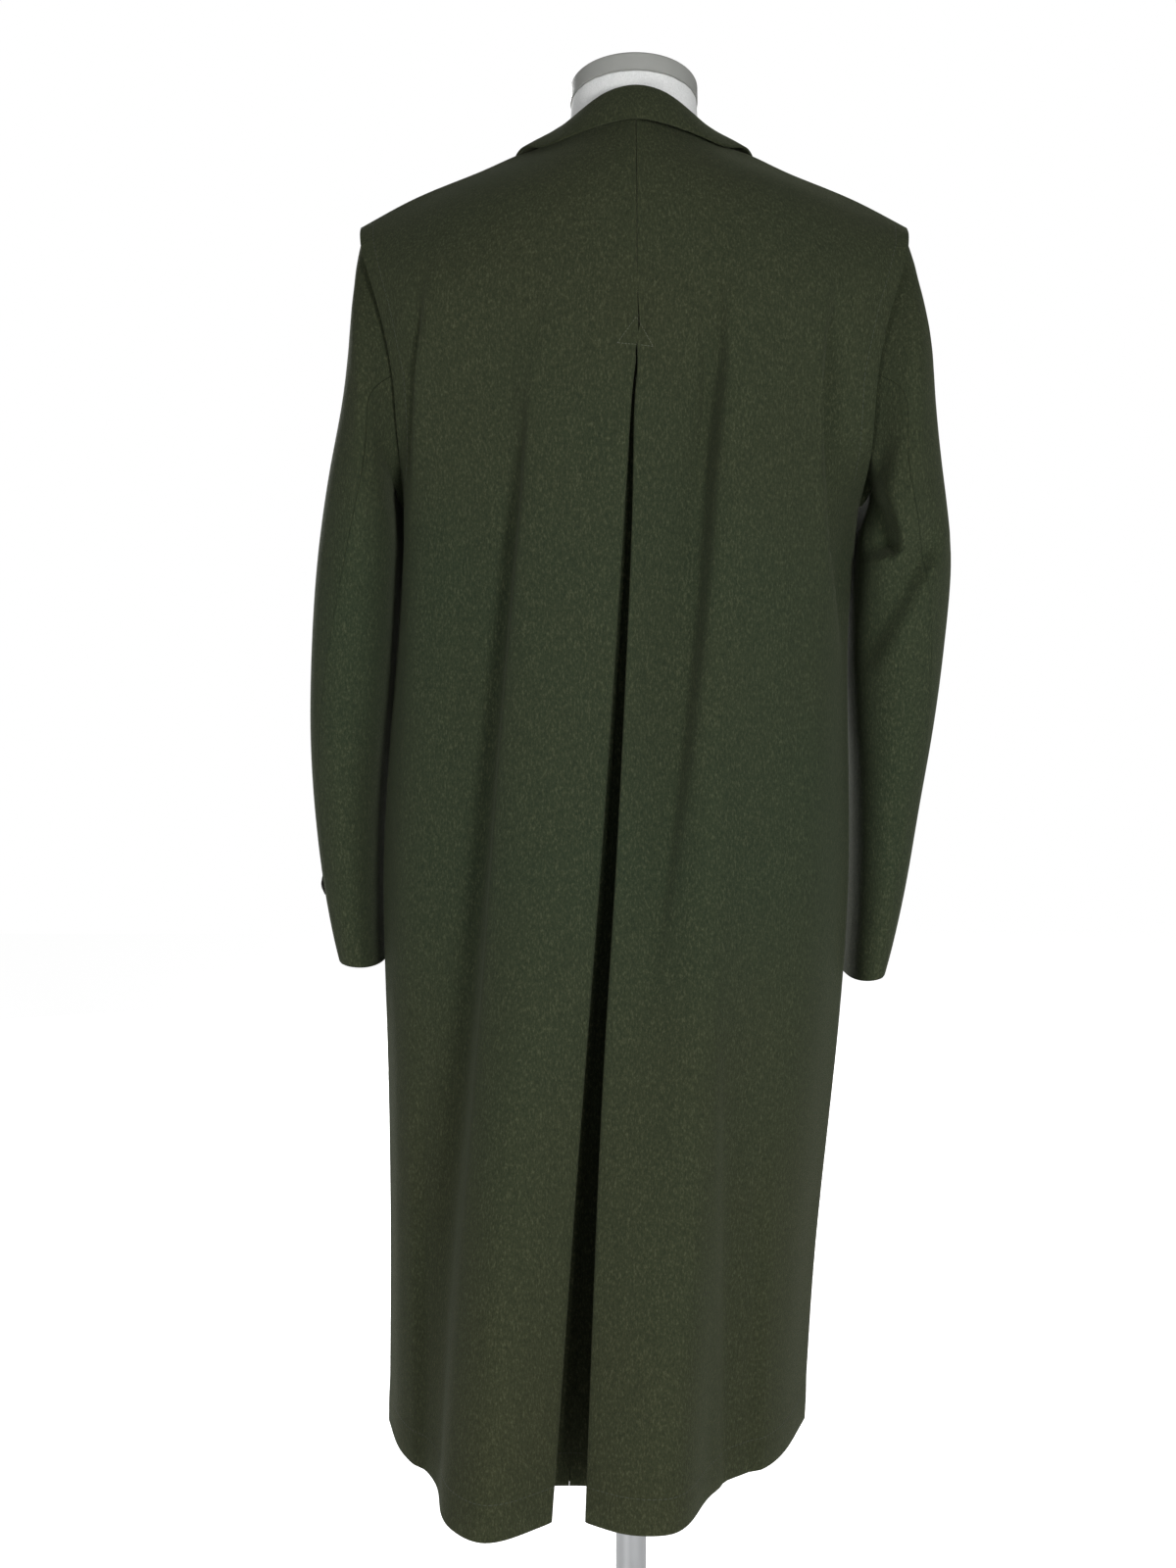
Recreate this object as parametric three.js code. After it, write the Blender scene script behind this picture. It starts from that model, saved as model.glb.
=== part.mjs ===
// Loden coat on a limbless dress form, in millimetres, +Z up, standing on z = 0.
// -Y is the back of the coat, -X is the wearer's left, the form's axis is x = y = 0.
import * as THREE from "three";

// Driving sizes
const CLOTH = 2.0;                 // thickness of one layer of loden
const SEAM_GAP = 0.3;              // space kept between sewn pieces
const SEAM_SLACK = 0.02;           // added to it on each side where two curved edges meet
const HEM_Z = 300;                 // height of the hem above the floor
const ARMHOLE = { z: 1249.5, halfHeight: 121.5, backDepth: 62, frontDepth: 56 };
const FLANGE = 12;                 // how far the body panel laps over the sleeve head
const FLANGE_DROP = 4.8;           // sleeve head lies this far under the panel's middle layer
const PLEAT_TOP_Z = 1250;          // the inverted pleat opens below this height
// Inverted pleat: how deep its folds reach under the panel, how far its floor lies behind, the
// space from one layer's middle to the next, and the round of its folds
const PLEAT = {
  depthTop: 26, depthHem: 66, openTop: 10, openHem: 70, openCurve: 0.75,
  fold: 4.6, tip: 0.4, bend: 1.6, deepShare: 0.55, floorShare: 0.7,
};
const BUTTON = { radius: 13, height: 4.2, count: 5, topZ: 1332, pitch: 128, lift: 1.6 };
// Cuff buttons: share of the way along the top sleeve, and across it from the hindarm seam
const CUFF_BUTTON = { radius: 9, along: 0.848, acrossLeft: 0.4, acrossRight: 0.52 };
const CAP = { radius: 55, height: 17, tilt: THREE.MathUtils.degToRad(18), z: 1477, y: 2 };
const CAP_GAP = 0.45;              // space between the neck and its cap
const STAND = { poleRadius: 14, baseRadius: 190, baseHeight: 12, poleTop: 739.6 };

const loden = new THREE.MeshStandardMaterial({ color: 0x373e2a, roughness: 0.95, metalness: 0 });
const horn = new THREE.MeshStandardMaterial({ color: 0x2a241c, roughness: 0.45, metalness: 0 });
const jersey = new THREE.MeshStandardMaterial({ color: 0xe1e3e1, roughness: 0.9, metalness: 0 });
const cap = new THREE.MeshStandardMaterial({ color: 0xb2b4ae, roughness: 0.5, metalness: 0 });
const steel = new THREE.MeshStandardMaterial({ color: 0xb8babc, roughness: 0.3, metalness: 0.9 });

// Half width of the body at the armhole edge, by height
const ARMHOLE_WIDTH = [
  { z: 1128, x: 200 }, { z: 1180, x: 203 }, { z: 1240, x: 204 },
  { z: 1290, x: 214 }, { z: 1320, x: 224 }, { z: 1347, x: 233 }, { z: 1371, x: 237 },
];

// Body panels: a row is a height and then one point for each line down the cloth that columns
// names. A point is [x, y], or [x, y, z] where the yoke runs over the shoulder.
const BACK_LEFT = {
  columns: ["side", "flank", "foot", "ridge", "bulge", "edge"],
  rows: [
    [300, [-221, 0], [-203, -72], [-168, -134], [-156, -209], [-122, -246], [-70, -208]],
    [467, [-218, -3], [-201, -68], [-160, -114], [-148, -179], [-112, -213], [-58, -187]],
    [655, [-219, -5], [-199, -66], [-146, -103], [-133, -152], [-97, -181], [-44, -167]],
    [820, [-222, -6], [-199, -66], [-134, -98], [-120, -137], [-83, -156], [-31, -150]],
    [1000, [-208, -7], [-191, -64], [-119, -97], [-104, -126], [-70, -138], [-18.5, -137]],
    [1128, [-200, 0], [-190, -62], [-107, -101], [-93, -121], [-54, -130], [-10.5, -131]],
    [1200, [-203, -40], [-187, -76], [-106, -108], [-90, -122], [-50, -129], [-6, -130]],
    [1250, [-205, -60], [-184, -85], [-106, -112], [-88, -121], [-47, -127], [-3.4, -128]],
    [1312, [-220, -50], [-177, -90], [-112, -113], [-84, -118], [-42, -121], [-0.15, -121]],
    [1380, [-233, -30, 1347], [-183, -54, 1368], [-122, -76, 1388],
      [-85, -87, 1396], [-44, -97, 1400], [-0.15, -100, 1401]],
    [1430, [-237, -0.15, 1371], [-190, -0.15, 1396], [-133, -0.15, 1418.5],
      [-84, -4, 1438], [-48, -50, 1443], [-0.15, -78, 1448]],
  ],
};
const BACK_RIGHT = {
  columns: ["side", "flank", "foot", "crest", "valley", "edge"],
  rows: [
    [300, [158, 4], [122, -91], [66, -146], [33, -226], [-6, -230], [-41, -208]],
    [467, [166, 0], [129, -95], [76, -144], [42, -206], [2, -204], [-35, -190]],
    [655, [184, -3], [144, -97], [88, -143], [50, -184], [8, -175], [-27, -169]],
    [820, [193, -5], [153, -95], [98, -137], [55, -161], [20, -146], [-16.5, -151]],
    [1000, [188, -5], [157, -88], [104, -126], [61, -141], [31, -123], [-7.5, -137]],
    [1128, [197, 0], [163, -80], [110, -119], [70, -130], [48, -114], [-2.5, -131]],
    [1200, [203, -40], [162, -84], [112, -116], [75, -126], [53, -113], [-1.5, -130]],
    [1250, [205, -60], [161, -90], [112, -115], [78, -123], [54, -114], [0.3, -128]],
    [1312, [220, -50], [166, -90], [112, -112], [74, -118], [44, -116], [0.15, -121]],
    [1380, [233, -30, 1347], [182, -54, 1368], [124, -76, 1388],
      [85, -87, 1396], [44, -96, 1400], [0.15, -100, 1401]],
    [1430, [237, -0.15, 1371], [190, -0.15, 1395], [133, -0.15, 1417.5],
      [84, -4, 1438], [48, -50, 1443], [0.15, -78, 1448]],
  ],
};
const FRONT_LEFT = {
  columns: ["side", "flank", "fold", "chest", "throat", "edge"],
  rows: [
    [300, [-221, 0], [-206, 58], [-164, 118], [-112, 124], [-50, 142], [-4, 134]],
    [467, [-218, -3], [-204, 56], [-158, 112], [-108, 120], [-48, 136], [0, 132]],
    [655, [-219, -5], [-203, 56], [-152, 106], [-104, 119], [-44, 131], [6, 130]],
    [820, [-222, -6], [-202, 56], [-148, 103], [-102, 118], [-42, 129], [12, 130]],
    [1000, [-208, -7], [-192, 56], [-144, 102], [-102, 120], [-40, 130], [18, 131]],
    [1128, [-200, 0], [-189, 60], [-144, 106], [-100, 124], [-38, 132], [24, 132]],
    [1200, [-203, 40], [-184, 76], [-143, 105], [-99, 121], [-36, 130], [26, 130]],
    [1250, [-205, 54], [-178, 82], [-142, 101], [-98, 115], [-35, 123], [27, 123]],
    [1312, [-220, 46], [-172, 80], [-140, 90], [-96, 100], [-35, 106], [28, 106]],
    [1375, [-233, 28, 1347], [-180, 46, 1368], [-130, 58, 1381],
      [-88, 68, 1381], [-38, 82, 1363], [28, 86, 1354]],
    [1400, [-237, 0.15, 1371], [-190, 0.15, 1396], [-133, 0.15, 1418.5],
      [-83, 0, 1437.5], [-52, 52, 1404], [28, 71, 1388]],
  ],
};
// The left front laps over the right one: addLap makes the right one's last two columns from the
// left one's edge, one layer further in
const FRONT_RIGHT = {
  columns: ["side", "flank", "fold", "chest", "lapStart", "lapEnd"],
  rows: [
    [300, [158, 4], [146, 56], [112, 114], [60, 130]],
    [467, [166, 0], [153, 56], [116, 110], [62, 128]],
    [655, [184, -3], [168, 56], [124, 106], [66, 126]],
    [820, [193, -5], [174, 56], [128, 104], [70, 125]],
    [1000, [188, -5], [174, 56], [132, 102], [76, 126]],
    [1128, [197, 0], [186, 60], [140, 106], [82, 127]],
    [1200, [203, 40], [184, 76], [142, 105], [84, 125]],
    [1250, [205, 54], [178, 82], [142, 101], [86, 118]],
    [1312, [220, 46], [172, 80], [140, 90], [88, 101]],
    [1375, [233, 28, 1347], [180, 46, 1368], [130, 58, 1381], [86, 69, 1380]],
    [1400, [237, 0.15, 1371], [190, 0.15, 1395], [133, 0.15, 1417.5], [83, 0, 1437.5]],
  ],
};
const COLUMN_STEPS = 3;            // columns of points from one named column to the next
const ROW_STEPS = [2, 2, 2, 2, 3, 2, 2, 2, 3, 3];  // rows of points from one height to the next
const LAP = { drop: 3.3, start: 0.97, end: 0.86, slopeRow: 7, slopeRows: 3 };

// Sleeves: a ring for each height, from the overarm point to the underarm point.
// half is half the ring's depth, seam the angle of the hindarm seam from the overarm.
const SLEEVE_LEFT = [
  { over: [-242, 1318], under: [-209, 1146], y: -4, half: 64, seam: -94 },
  { over: [-246.5, 1268], under: [-208.5, 1128], y: -1, half: 71, seam: -92 },
  { over: [-253.5, 1218], under: [-206.2, 1100], y: 1, half: 76, seam: -90 },
  { over: [-265, 1165], under: [-208.6, 1062], y: 5, half: 79, seam: -86 },
  { over: [-277, 1092], under: [-211.2, 1016], y: 11, half: 80, seam: -80 },
  { over: [-284.5, 1012], under: [-215, 962], y: 18, half: 79, seam: -68 },
  { over: [-287.5, 936], under: [-222.5, 905], y: 25, half: 77, seam: -58 },
  { over: [-285.5, 868], under: [-225.5, 850], y: 31, half: 75, seam: -54 },
  { over: [-279, 800], under: [-227, 788], y: 36, half: 73, seam: -52 },
  { over: [-271, 750], under: [-226, 744], y: 40, half: 71, seam: -52 },
  { over: [-266, 727.5], under: [-225, 723.5], y: 42, half: 70, seam: -52 },
];
const SLEEVE_RIGHT = [
  { over: [246, 1324], under: [209, 1146], y: -4, half: 64, seam: -94 },
  { over: [257, 1276], under: [206.5, 1130], y: -1, half: 70, seam: -92 },
  { over: [261.5, 1226], under: [199.5, 1106], y: 1, half: 73, seam: -90 },
  { over: [269, 1168], under: [197, 1084], y: 5, half: 75, seam: -84 },
  { over: [280, 1090], under: [194.5, 1046], y: 11, half: 77, seam: -76 },
  { over: [276.5, 1018], under: [192.5, 984], y: 18, half: 77, seam: -62 },
  { over: [268.5, 938], under: [196.5, 912], y: 26, half: 76, seam: -52 },
  { over: [257.5, 868], under: [198, 850], y: 32, half: 75, seam: -50 },
  { over: [248, 800], under: [198, 788], y: 38, half: 73, seam: -56 },
  { over: [236.5, 742], under: [196, 734], y: 42, half: 71, seam: -62 },
  { over: [230, 716], under: [195, 710.5], y: 44, half: 70, seam: -64 },
];
const FOREARM_SEAM = 76;           // angle of the front sleeve seam from the overarm

// Dress form: half width, back and front depth of each level
const FORM = [
  { z: 740, half: 146, back: -88, front: 92 }, { z: 752, half: 154, back: -94, front: 96 },
  { z: 820, half: 164, back: -98, front: 98 }, { z: 900, half: 164, back: -97, front: 98 },
  { z: 1000, half: 148, back: -88, front: 96 }, { z: 1080, half: 148, back: -90, front: 100 },
  { z: 1170, half: 158, back: -102, front: 106 }, { z: 1250, half: 164, back: -104, front: 98 },
  { z: 1310, half: 174, back: -90, front: 74 }, { z: 1352, half: 184, back: -62, front: 46 },
  { z: 1379, half: 188, back: -36, front: 26 }, { z: 1392.5, half: 180, back: -30, front: 20 },
  { z: 1406.5, half: 153, back: -32, front: 14 }, { z: 1417, half: 126, back: -36, front: 12 },
  { z: 1427.5, half: 91, back: -42, front: 8 }, { z: 1438, half: 65, back: -48, front: 18 },
  { z: 1450, half: 56, back: -51, front: 42 },
];

const v3 = (x, y, z) => new THREE.Vector3(x, y, z);
const lerp = THREE.MathUtils.lerp;
const clamp01 = (t) => Math.min(1, Math.max(0, t));
const smooth = (t) => { const k = clamp01(t); return k * k * (3 - 2 * k); };

// Value of a column in a table whose rows are sorted by z
function byHeight(table, z, name) {
  if (z <= table[0].z) return table[0][name];
  for (let i = 1; i < table.length; i += 1) {
    if (z <= table[i].z) {
      const t = (z - table[i - 1].z) / (table[i].z - table[i - 1].z);
      return lerp(table[i - 1][name], table[i][name], t);
    }
  }
  return table[table.length - 1][name];
}

// The armhole edge: angle 0 at the shoulder tip, negative to the back, +-180 at the armpit
function armholeEdge(side, angle) {
  const z = ARMHOLE.z + ARMHOLE.halfHeight * Math.cos(angle);
  const depth = angle < 0 ? ARMHOLE.backDepth : ARMHOLE.frontDepth;
  return v3(side * byHeight(ARMHOLE_WIDTH, z, "x"), depth * Math.sin(angle), z);
}
const armholeAngle = (z) => Math.acos(THREE.MathUtils.clamp((z - ARMHOLE.z) / ARMHOLE.halfHeight, -1, 1));

// Points between the table's columns and rows, by a smooth curve each way
function rowCurve([height, ...points]) {
  return new THREE.CatmullRomCurve3(points.map(([x, y, z = height]) => v3(x, y, z)));
}
function addLap() {
  FRONT_RIGHT.rows.forEach((row, r) => {
    const curve = rowCurve(FRONT_LEFT.rows[r]);
    const tilt = smooth((r - LAP.slopeRow) / LAP.slopeRows) * Math.PI / 4;
    const inward = v3(0, -Math.cos(tilt), -Math.sin(tilt)).multiplyScalar(LAP.drop * (1 + tilt));
    row.push(curve.getPoint(LAP.start).add(inward).toArray());
    row.push(curve.getPoint(LAP.end).add(inward).toArray());
  });
}
addLap();
function panelGrid(panel, side, back) {
  const columnCount = (panel.columns.length - 1) * COLUMN_STEPS;
  const rows = panel.rows.map((row) => rowCurve(row).getPoints(columnCount));
  const curves = rows[0].map((_, c) => new THREE.CatmullRomCurve3(rows.map((row) => row[c])));
  const grid = [];
  rows.forEach((row, r) => {
    const steps = r < ROW_STEPS.length ? ROW_STEPS[r] : 1;
    for (let s = 0; s < steps; s += 1) {
      grid.push(curves.map((curve) => curve.getPoint((r + s / steps) / (rows.length - 1))));
    }
  });
  seatArmhole(grid, side, back);
  return grid;
}
// Moves the panel's side column onto the armhole edge above the armpit, its neighbours partly
function seatArmhole(grid, side, back) {
  const armpit = ARMHOLE.z - ARMHOLE.halfHeight;
  const share = [1, 0.55, 0.2];
  for (const row of grid) {
    const z = row[0].z;
    if (z <= armpit + 0.01) continue;
    const angle = armholeAngle(Math.min(z, ARMHOLE.z + ARMHOLE.halfHeight)) * (back ? -1 : 1);
    const target = armholeEdge(side, angle);
    target.y += (back ? -1 : 1) * SEAM_GAP / 2;
    const move = target.sub(row[0]);
    share.forEach((part, c) => row[c].addScaledVector(move, part));
  }
}

// Unit normals of a grid of points, pointing away from the body for this winding
function gridNormals(grid, sign) {
  return grid.map((row, r) => row.map((point, c) => {
    if (point.seamNormal) return point.seamNormal.clone();
    const up = grid[Math.min(r + 1, grid.length - 1)][c].clone().sub(grid[Math.max(r - 1, 0)][c]);
    const along = row[Math.min(c + 1, row.length - 1)].clone().sub(row[Math.max(c - 1, 0)]);
    return along.cross(up).normalize().multiplyScalar(sign);
  }));
}
// Brings two pieces' edges together along a seam, with one normal and the seam gap between them.
// Each edge is a list of { grid, sign, r, c, next } where next is [row, column] of the next point
// in from the edge.
function joinSeam(first, second) {
  const count = first.length;
  const pointOf = (edge) => edge.grid[edge.r][edge.c];
  const middles = first.map((a, i) => pointOf(a).clone().lerp(pointOf(second[i]), 0.5));
  const normals = first.map((a, i) => {
    const b = second[i];
    return edgeNormal(a).add(edgeNormal(b)).normalize();
  });
  first.forEach((a, i) => {
    const b = second[i];
    const run = middles[Math.min(i + 1, count - 1)].clone().sub(middles[Math.max(i - 1, 0)]);
    const across = run.cross(normals[i]).normalize();
    const towards = a.grid[a.next[0]][a.next[1]].clone().sub(middles[i]);
    if (across.dot(towards) < 0) across.negate();
    const reach = SEAM_GAP / 2 + SEAM_SLACK;
    for (const [edge, half] of [[a, reach], [b, -reach]]) {
      pointOf(edge).copy(middles[i]).addScaledVector(across, half);
      pointOf(edge).seamNormal = normals[i].clone();
    }
  });
}
function edgeNormal({ grid, sign, r, c }) {
  const up = grid[Math.min(r + 1, grid.length - 1)][c].clone().sub(grid[Math.max(r - 1, 0)][c]);
  const along = grid[r][Math.min(c + 1, grid[r].length - 1)].clone().sub(grid[r][Math.max(c - 1, 0)]);
  return along.cross(up).normalize().multiplyScalar(sign);
}
const columnEdge = (grid, sign, c, nextC, from, to) => {
  const list = [];
  for (let r = from; r <= to; r += 1) list.push({ grid, sign, r, c, next: [r, nextC] });
  return list;
};

// A closed wall of even thickness on a grid of points; keep says which cells the cloth has
function wall(grid, sign, keep = () => true) {
  const rows = grid.length;
  const cols = grid[0].length;
  const normals = gridNormals(grid, sign);
  const position = [];
  const index = [];
  for (const offset of [CLOTH / 2, -CLOTH / 2]) {
    grid.forEach((row, r) => row.forEach((p, c) => {
      const n = normals[r][c];
      position.push(p.x + n.x * offset, p.y + n.y * offset, p.z + n.z * offset);
    }));
  }
  const inner = rows * cols;
  const at = (r, c) => r * cols + c;
  const quad = (a, b, c, d) => (sign > 0 ? index.push(a, b, c, a, c, d) : index.push(a, c, b, a, d, c));
  const has = (r, c) => r >= 0 && r < rows - 1 && c >= 0 && c < cols - 1 && keep(r, c);
  for (let r = 0; r < rows - 1; r += 1) {
    for (let c = 0; c < cols - 1; c += 1) {
      if (!has(r, c)) continue;
      const [p, q, s, t] = [at(r, c), at(r, c + 1), at(r + 1, c + 1), at(r + 1, c)];
      quad(p, q, s, t);
      quad(inner + t, inner + s, inner + q, inner + p);
      if (!has(r - 1, c)) quad(inner + p, inner + q, q, p);
      if (!has(r + 1, c)) quad(inner + s, inner + t, t, s);
      if (!has(r, c - 1)) quad(inner + t, inner + p, p, t);
      if (!has(r, c + 1)) quad(inner + q, inner + s, s, q);
    }
  }
  return compact(position, index);
}
// Keeps only the points that a face uses
function compact(position, index) {
  const used = new Map();
  const kept = [];
  const faces = index.map((i) => {
    if (!used.has(i)) {
      used.set(i, kept.length / 3);
      kept.push(position[3 * i], position[3 * i + 1], position[3 * i + 2]);
    }
    return used.get(i);
  });
  const geometry = new THREE.BufferGeometry();
  geometry.setAttribute("position", new THREE.Float32BufferAttribute(kept, 3));
  geometry.setIndex(faces);
  geometry.computeVertexNormals();
  return geometry;
}

// A solid closed by a fan at each end, from rings of points
function rings(list) {
  const position = [];
  const index = [];
  const n = list[0].length;
  list.forEach((ring) => ring.forEach((p) => position.push(p.x, p.y, p.z)));
  for (let r = 0; r < list.length - 1; r += 1) {
    for (let i = 0; i < n; i += 1) {
      const [a, b] = [r * n + i, r * n + ((i + 1) % n)];
      index.push(a, b, b + n, a, b + n, a + n);
    }
  }
  const end = (list.length - 1) * n;
  for (let i = 1; i < n - 1; i += 1) {
    index.push(0, i + 1, i);
    index.push(end, end + i, end + i + 1);
  }
  return compact(position, index);
}

const group = new THREE.Group();
function add(name, geometry, material) {
  const mesh = new THREE.Mesh(geometry, material);
  mesh.name = name;
  group.add(mesh);
  return mesh;
}

// The four body panels, joined at the side, shoulder and centre back seams
const grids = {
  backLeft: panelGrid(BACK_LEFT, -1, true),
  backRight: panelGrid(BACK_RIGHT, 1, true),
  frontLeft: panelGrid(FRONT_LEFT, -1, false),
  frontRight: panelGrid(FRONT_RIGHT, 1, false),
};
const OUTWARD = { backLeft: 1, backRight: -1, frontLeft: -1, frontRight: 1 };
const COLUMN_COUNT = grids.backLeft[0].length;
const LAST_ROW = grids.backLeft.length - 1;
const ARMPIT_ROW = grids.backLeft.findIndex((row) => row[0].z > ARMHOLE.z - ARMHOLE.halfHeight + 0.01) - 1;
const PLEAT_ROW = grids.backLeft.findIndex((row) => row[COLUMN_COUNT - 1].z > PLEAT_TOP_Z - 0.5);
const NECK_COLUMN = 9;             // column of the neck point on the shoulder seam
const rowEdge = (name, from, to) => Array.from({ length: to - from + 1 }, (_, i) => (
  { grid: grids[name], sign: OUTWARD[name], r: LAST_ROW, c: from + i, next: [LAST_ROW - 1, from + i] }
));
for (const side of ["Left", "Right"]) {
  const [back, front] = [`back${side}`, `front${side}`];
  joinSeam(
    columnEdge(grids[back], OUTWARD[back], 0, 1, 0, ARMPIT_ROW),
    columnEdge(grids[front], OUTWARD[front], 0, 1, 0, ARMPIT_ROW),
  );
  joinSeam(rowEdge(back, 0, NECK_COLUMN), rowEdge(front, 0, NECK_COLUMN));
}
joinSeam(
  columnEdge(grids.backLeft, 1, COLUMN_COUNT - 1, COLUMN_COUNT - 2, PLEAT_ROW + 1, LAST_ROW),
  columnEdge(grids.backRight, -1, COLUMN_COUNT - 1, COLUMN_COUNT - 2, PLEAT_ROW + 1, LAST_ROW),
);

// Depth of a panel's row at a given x, searched from its centre back edge
function panelY(row, x) {
  for (let c = COLUMN_COUNT - 1; c > 0; c -= 1) {
    const [a, b] = [row[c], row[c - 1]];
    if ((x - a.x) * (x - b.x) <= 0 && a.x !== b.x) return lerp(a.y, b.y, (x - a.x) / (b.x - a.x));
  }
  return row[0].y;
}

// A back panel with the inverted pleat's turned-under layers, down from the pleat's top
function addPleat(name, otherName, side) {
  return grids[name].map((row, r) => {
    const edge = row[COLUMN_COUNT - 1];
    const centre = edge.clone().lerp(grids[otherName][r][COLUMN_COUNT - 1], 0.5);
    const t = clamp01((edge.z - HEM_Z) / (PLEAT_TOP_Z - HEM_Z));
    const depth = lerp(PLEAT.depthHem, PLEAT.depthTop, t);
    const open = lerp(PLEAT.openHem, PLEAT.openTop, Math.pow(t, PLEAT.openCurve));
    const tip = v3(edge.x - side * PLEAT.tip, edge.y + PLEAT.fold / 2, edge.z);
    const inside = v3(edge.x + side * PLEAT.tip, edge.y + PLEAT.fold, edge.z);
    const deepX = edge.x + side * depth;
    const back = Math.min(lerp(open * PLEAT.deepShare, PLEAT.fold, smooth(t)), open - PLEAT.fold);
    const deepY = edge.y + back;
    const deep = v3(deepX, Math.max(deepY, panelY(row, deepX) + PLEAT.fold), edge.z);
    const halfway = inside.clone().lerp(deep, 0.5);
    halfway.y = Math.max(halfway.y, panelY(row, halfway.x) + PLEAT.fold);
    const bend = v3(deep.x + side * PLEAT.bend, deep.y + PLEAT.fold / 2, edge.z);
    const under = v3(deep.x, deep.y + PLEAT.fold, edge.z);
    const floor = v3(centre.x + side * SEAM_GAP / 2, centre.y + open, edge.z);
    const flat = under.clone().lerp(floor, PLEAT.floorShare).setY(floor.y);
    const slope = under.clone().lerp(floor, PLEAT.floorShare / 2);
    return [...row, tip, inside, halfway, deep, bend, under, slope, flat, floor];
  });
}
const pleated = {
  backLeft: addPleat("backLeft", "backRight", -1),
  backRight: addPleat("backRight", "backLeft", 1),
};
const hasCloth = (r, c) => c < COLUMN_COUNT - 1 || r < PLEAT_ROW;
add("back_left", wall(pleated.backLeft, OUTWARD.backLeft, hasCloth), loden);
add("back_right", wall(pleated.backRight, OUTWARD.backRight, hasCloth), loden);
add("front_left", wall(grids.frontLeft, OUTWARD.frontLeft), loden);
add("front_right", wall(grids.frontRight, OUTWARD.frontRight), loden);

// Point and outward normal of a panel at a fraction of its columns and rows
function onPanel(grid, sign, columnShare, rowShare) {
  const normals = gridNormals(grid, sign);
  const r = THREE.MathUtils.clamp(rowShare, 0, 1) * (grid.length - 1);
  const c = THREE.MathUtils.clamp(columnShare, 0, 1) * (grid[0].length - 1);
  const [r0, c0] = [Math.min(Math.floor(r), grid.length - 2), Math.min(Math.floor(c), grid[0].length - 2)];
  const blend = (source) => source[r0][c0].clone().lerp(source[r0][c0 + 1], c - c0)
    .lerp(source[r0 + 1][c0].clone().lerp(source[r0 + 1][c0 + 1], c - c0), r - r0);
  return { point: blend(grid), normal: blend(normals).normalize() };
}

// A point beside the armhole edge: lap is how far it lies in from the edge, on the panel's layer
function besideArmhole(side, angle, lap) {
  const name = `${angle < 0 ? "back" : "front"}${side < 0 ? "Left" : "Right"}`;
  const grid = grids[name];
  const edge = armholeEdge(side, angle);
  let r = ARMPIT_ROW;
  while (r < LAST_ROW - 1 && grid[r + 1][0].z < edge.z) r += 1;
  const t = clamp01((edge.z - grid[r][0].z) / (grid[r + 1][0].z - grid[r][0].z));
  const normals = [r, r + 1].map((row) => edgeNormal({ grid, sign: OUTWARD[name], r: row, c: 1 }));
  const normal = normals[0].clone().lerp(normals[1], t).normalize();
  const point = grid[r][0].clone().lerp(grid[r + 1][0], t);
  const away = v3(0, -Math.sin(angle), -Math.cos(angle)).multiplyScalar(-1);
  const inward = away.addScaledVector(normal, -away.dot(normal)).normalize().multiplyScalar(-1);
  return { point: point.addScaledVector(inward, -lap), normal };
}

// Sleeves: the head starts under the body panels' flange, the underarm meets the armpit edge
const RING_POINTS = 28;
const RING_SQUARENESS = 0.9;       // 1 is an ellipse, less is squarer
const TURN = 2 * Math.PI;
// Share of the way round the head, from 0 at the shoulder tip to 1 at the armpit, where it comes
// out from under the flange, and by how much the underarm edge stays outside the armhole edge
const HEAD = { lapEnd: 0.5, lapRun: 0.16, dropEnd: 0.66, dropRun: 0.14, tuckRun: 0.3, butt: -2.2 };
const HEAD_RINGS = [
  { lap: FLANGE, drop: FLANGE_DROP + 1.4, out: 0, up: 0 },
  { lap: 1, drop: FLANGE_DROP, out: 4, up: 0.8 },
];
function sleeveRings(side, table) {
  const angles = Array.from({ length: RING_POINTS }, (_, i) => (i / RING_POINTS) * TURN - Math.PI);
  const headRing = ({ lap, drop, out, up }) => angles.map((angle) => {
    const low = Math.abs(angle) / Math.PI;
    const underLap = 1 - smooth((low - HEAD.lapEnd) / HEAD.lapRun);
    const underDrop = 1 - smooth((low - HEAD.dropEnd) / HEAD.dropRun);
    const bottom = smooth((low - HEAD.dropEnd) / HEAD.tuckRun);
    const seat = besideArmhole(side, angle, lerp(HEAD.butt, lap, underLap));
    const point = seat.point.addScaledVector(seat.normal, -drop * underDrop);
    point.x += side * out * bottom;
    point.z += up * bottom;
    return point;
  });
  const squared = (value) => Math.sign(value) * Math.pow(Math.abs(value), RING_SQUARENESS);
  const bodyRing = (row) => angles.map((angle) => {
    const t = (1 - squared(Math.cos(angle))) / 2;
    const [x, z] = [0, 1].map((axis) => lerp(row.over[axis], row.under[axis], t));
    return v3(x, row.y + row.half * squared(Math.sin(angle)), z);
  });
  return [...HEAD_RINGS.map(headRing), ...table.map(bodyRing)];
}
function spreadRings(list) {
  const curves = list[0].map((_, i) => new THREE.CatmullRomCurve3(list.map((ring) => ring[i])));
  const steps = (list.length - 1) * 2;
  return Array.from({ length: steps + 1 }, (_, r) => curves.map((curve) => curve.getPoint(r / steps)));
}
const TOP_STEPS = 12;
const UNDER_STEPS = 14;
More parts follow.
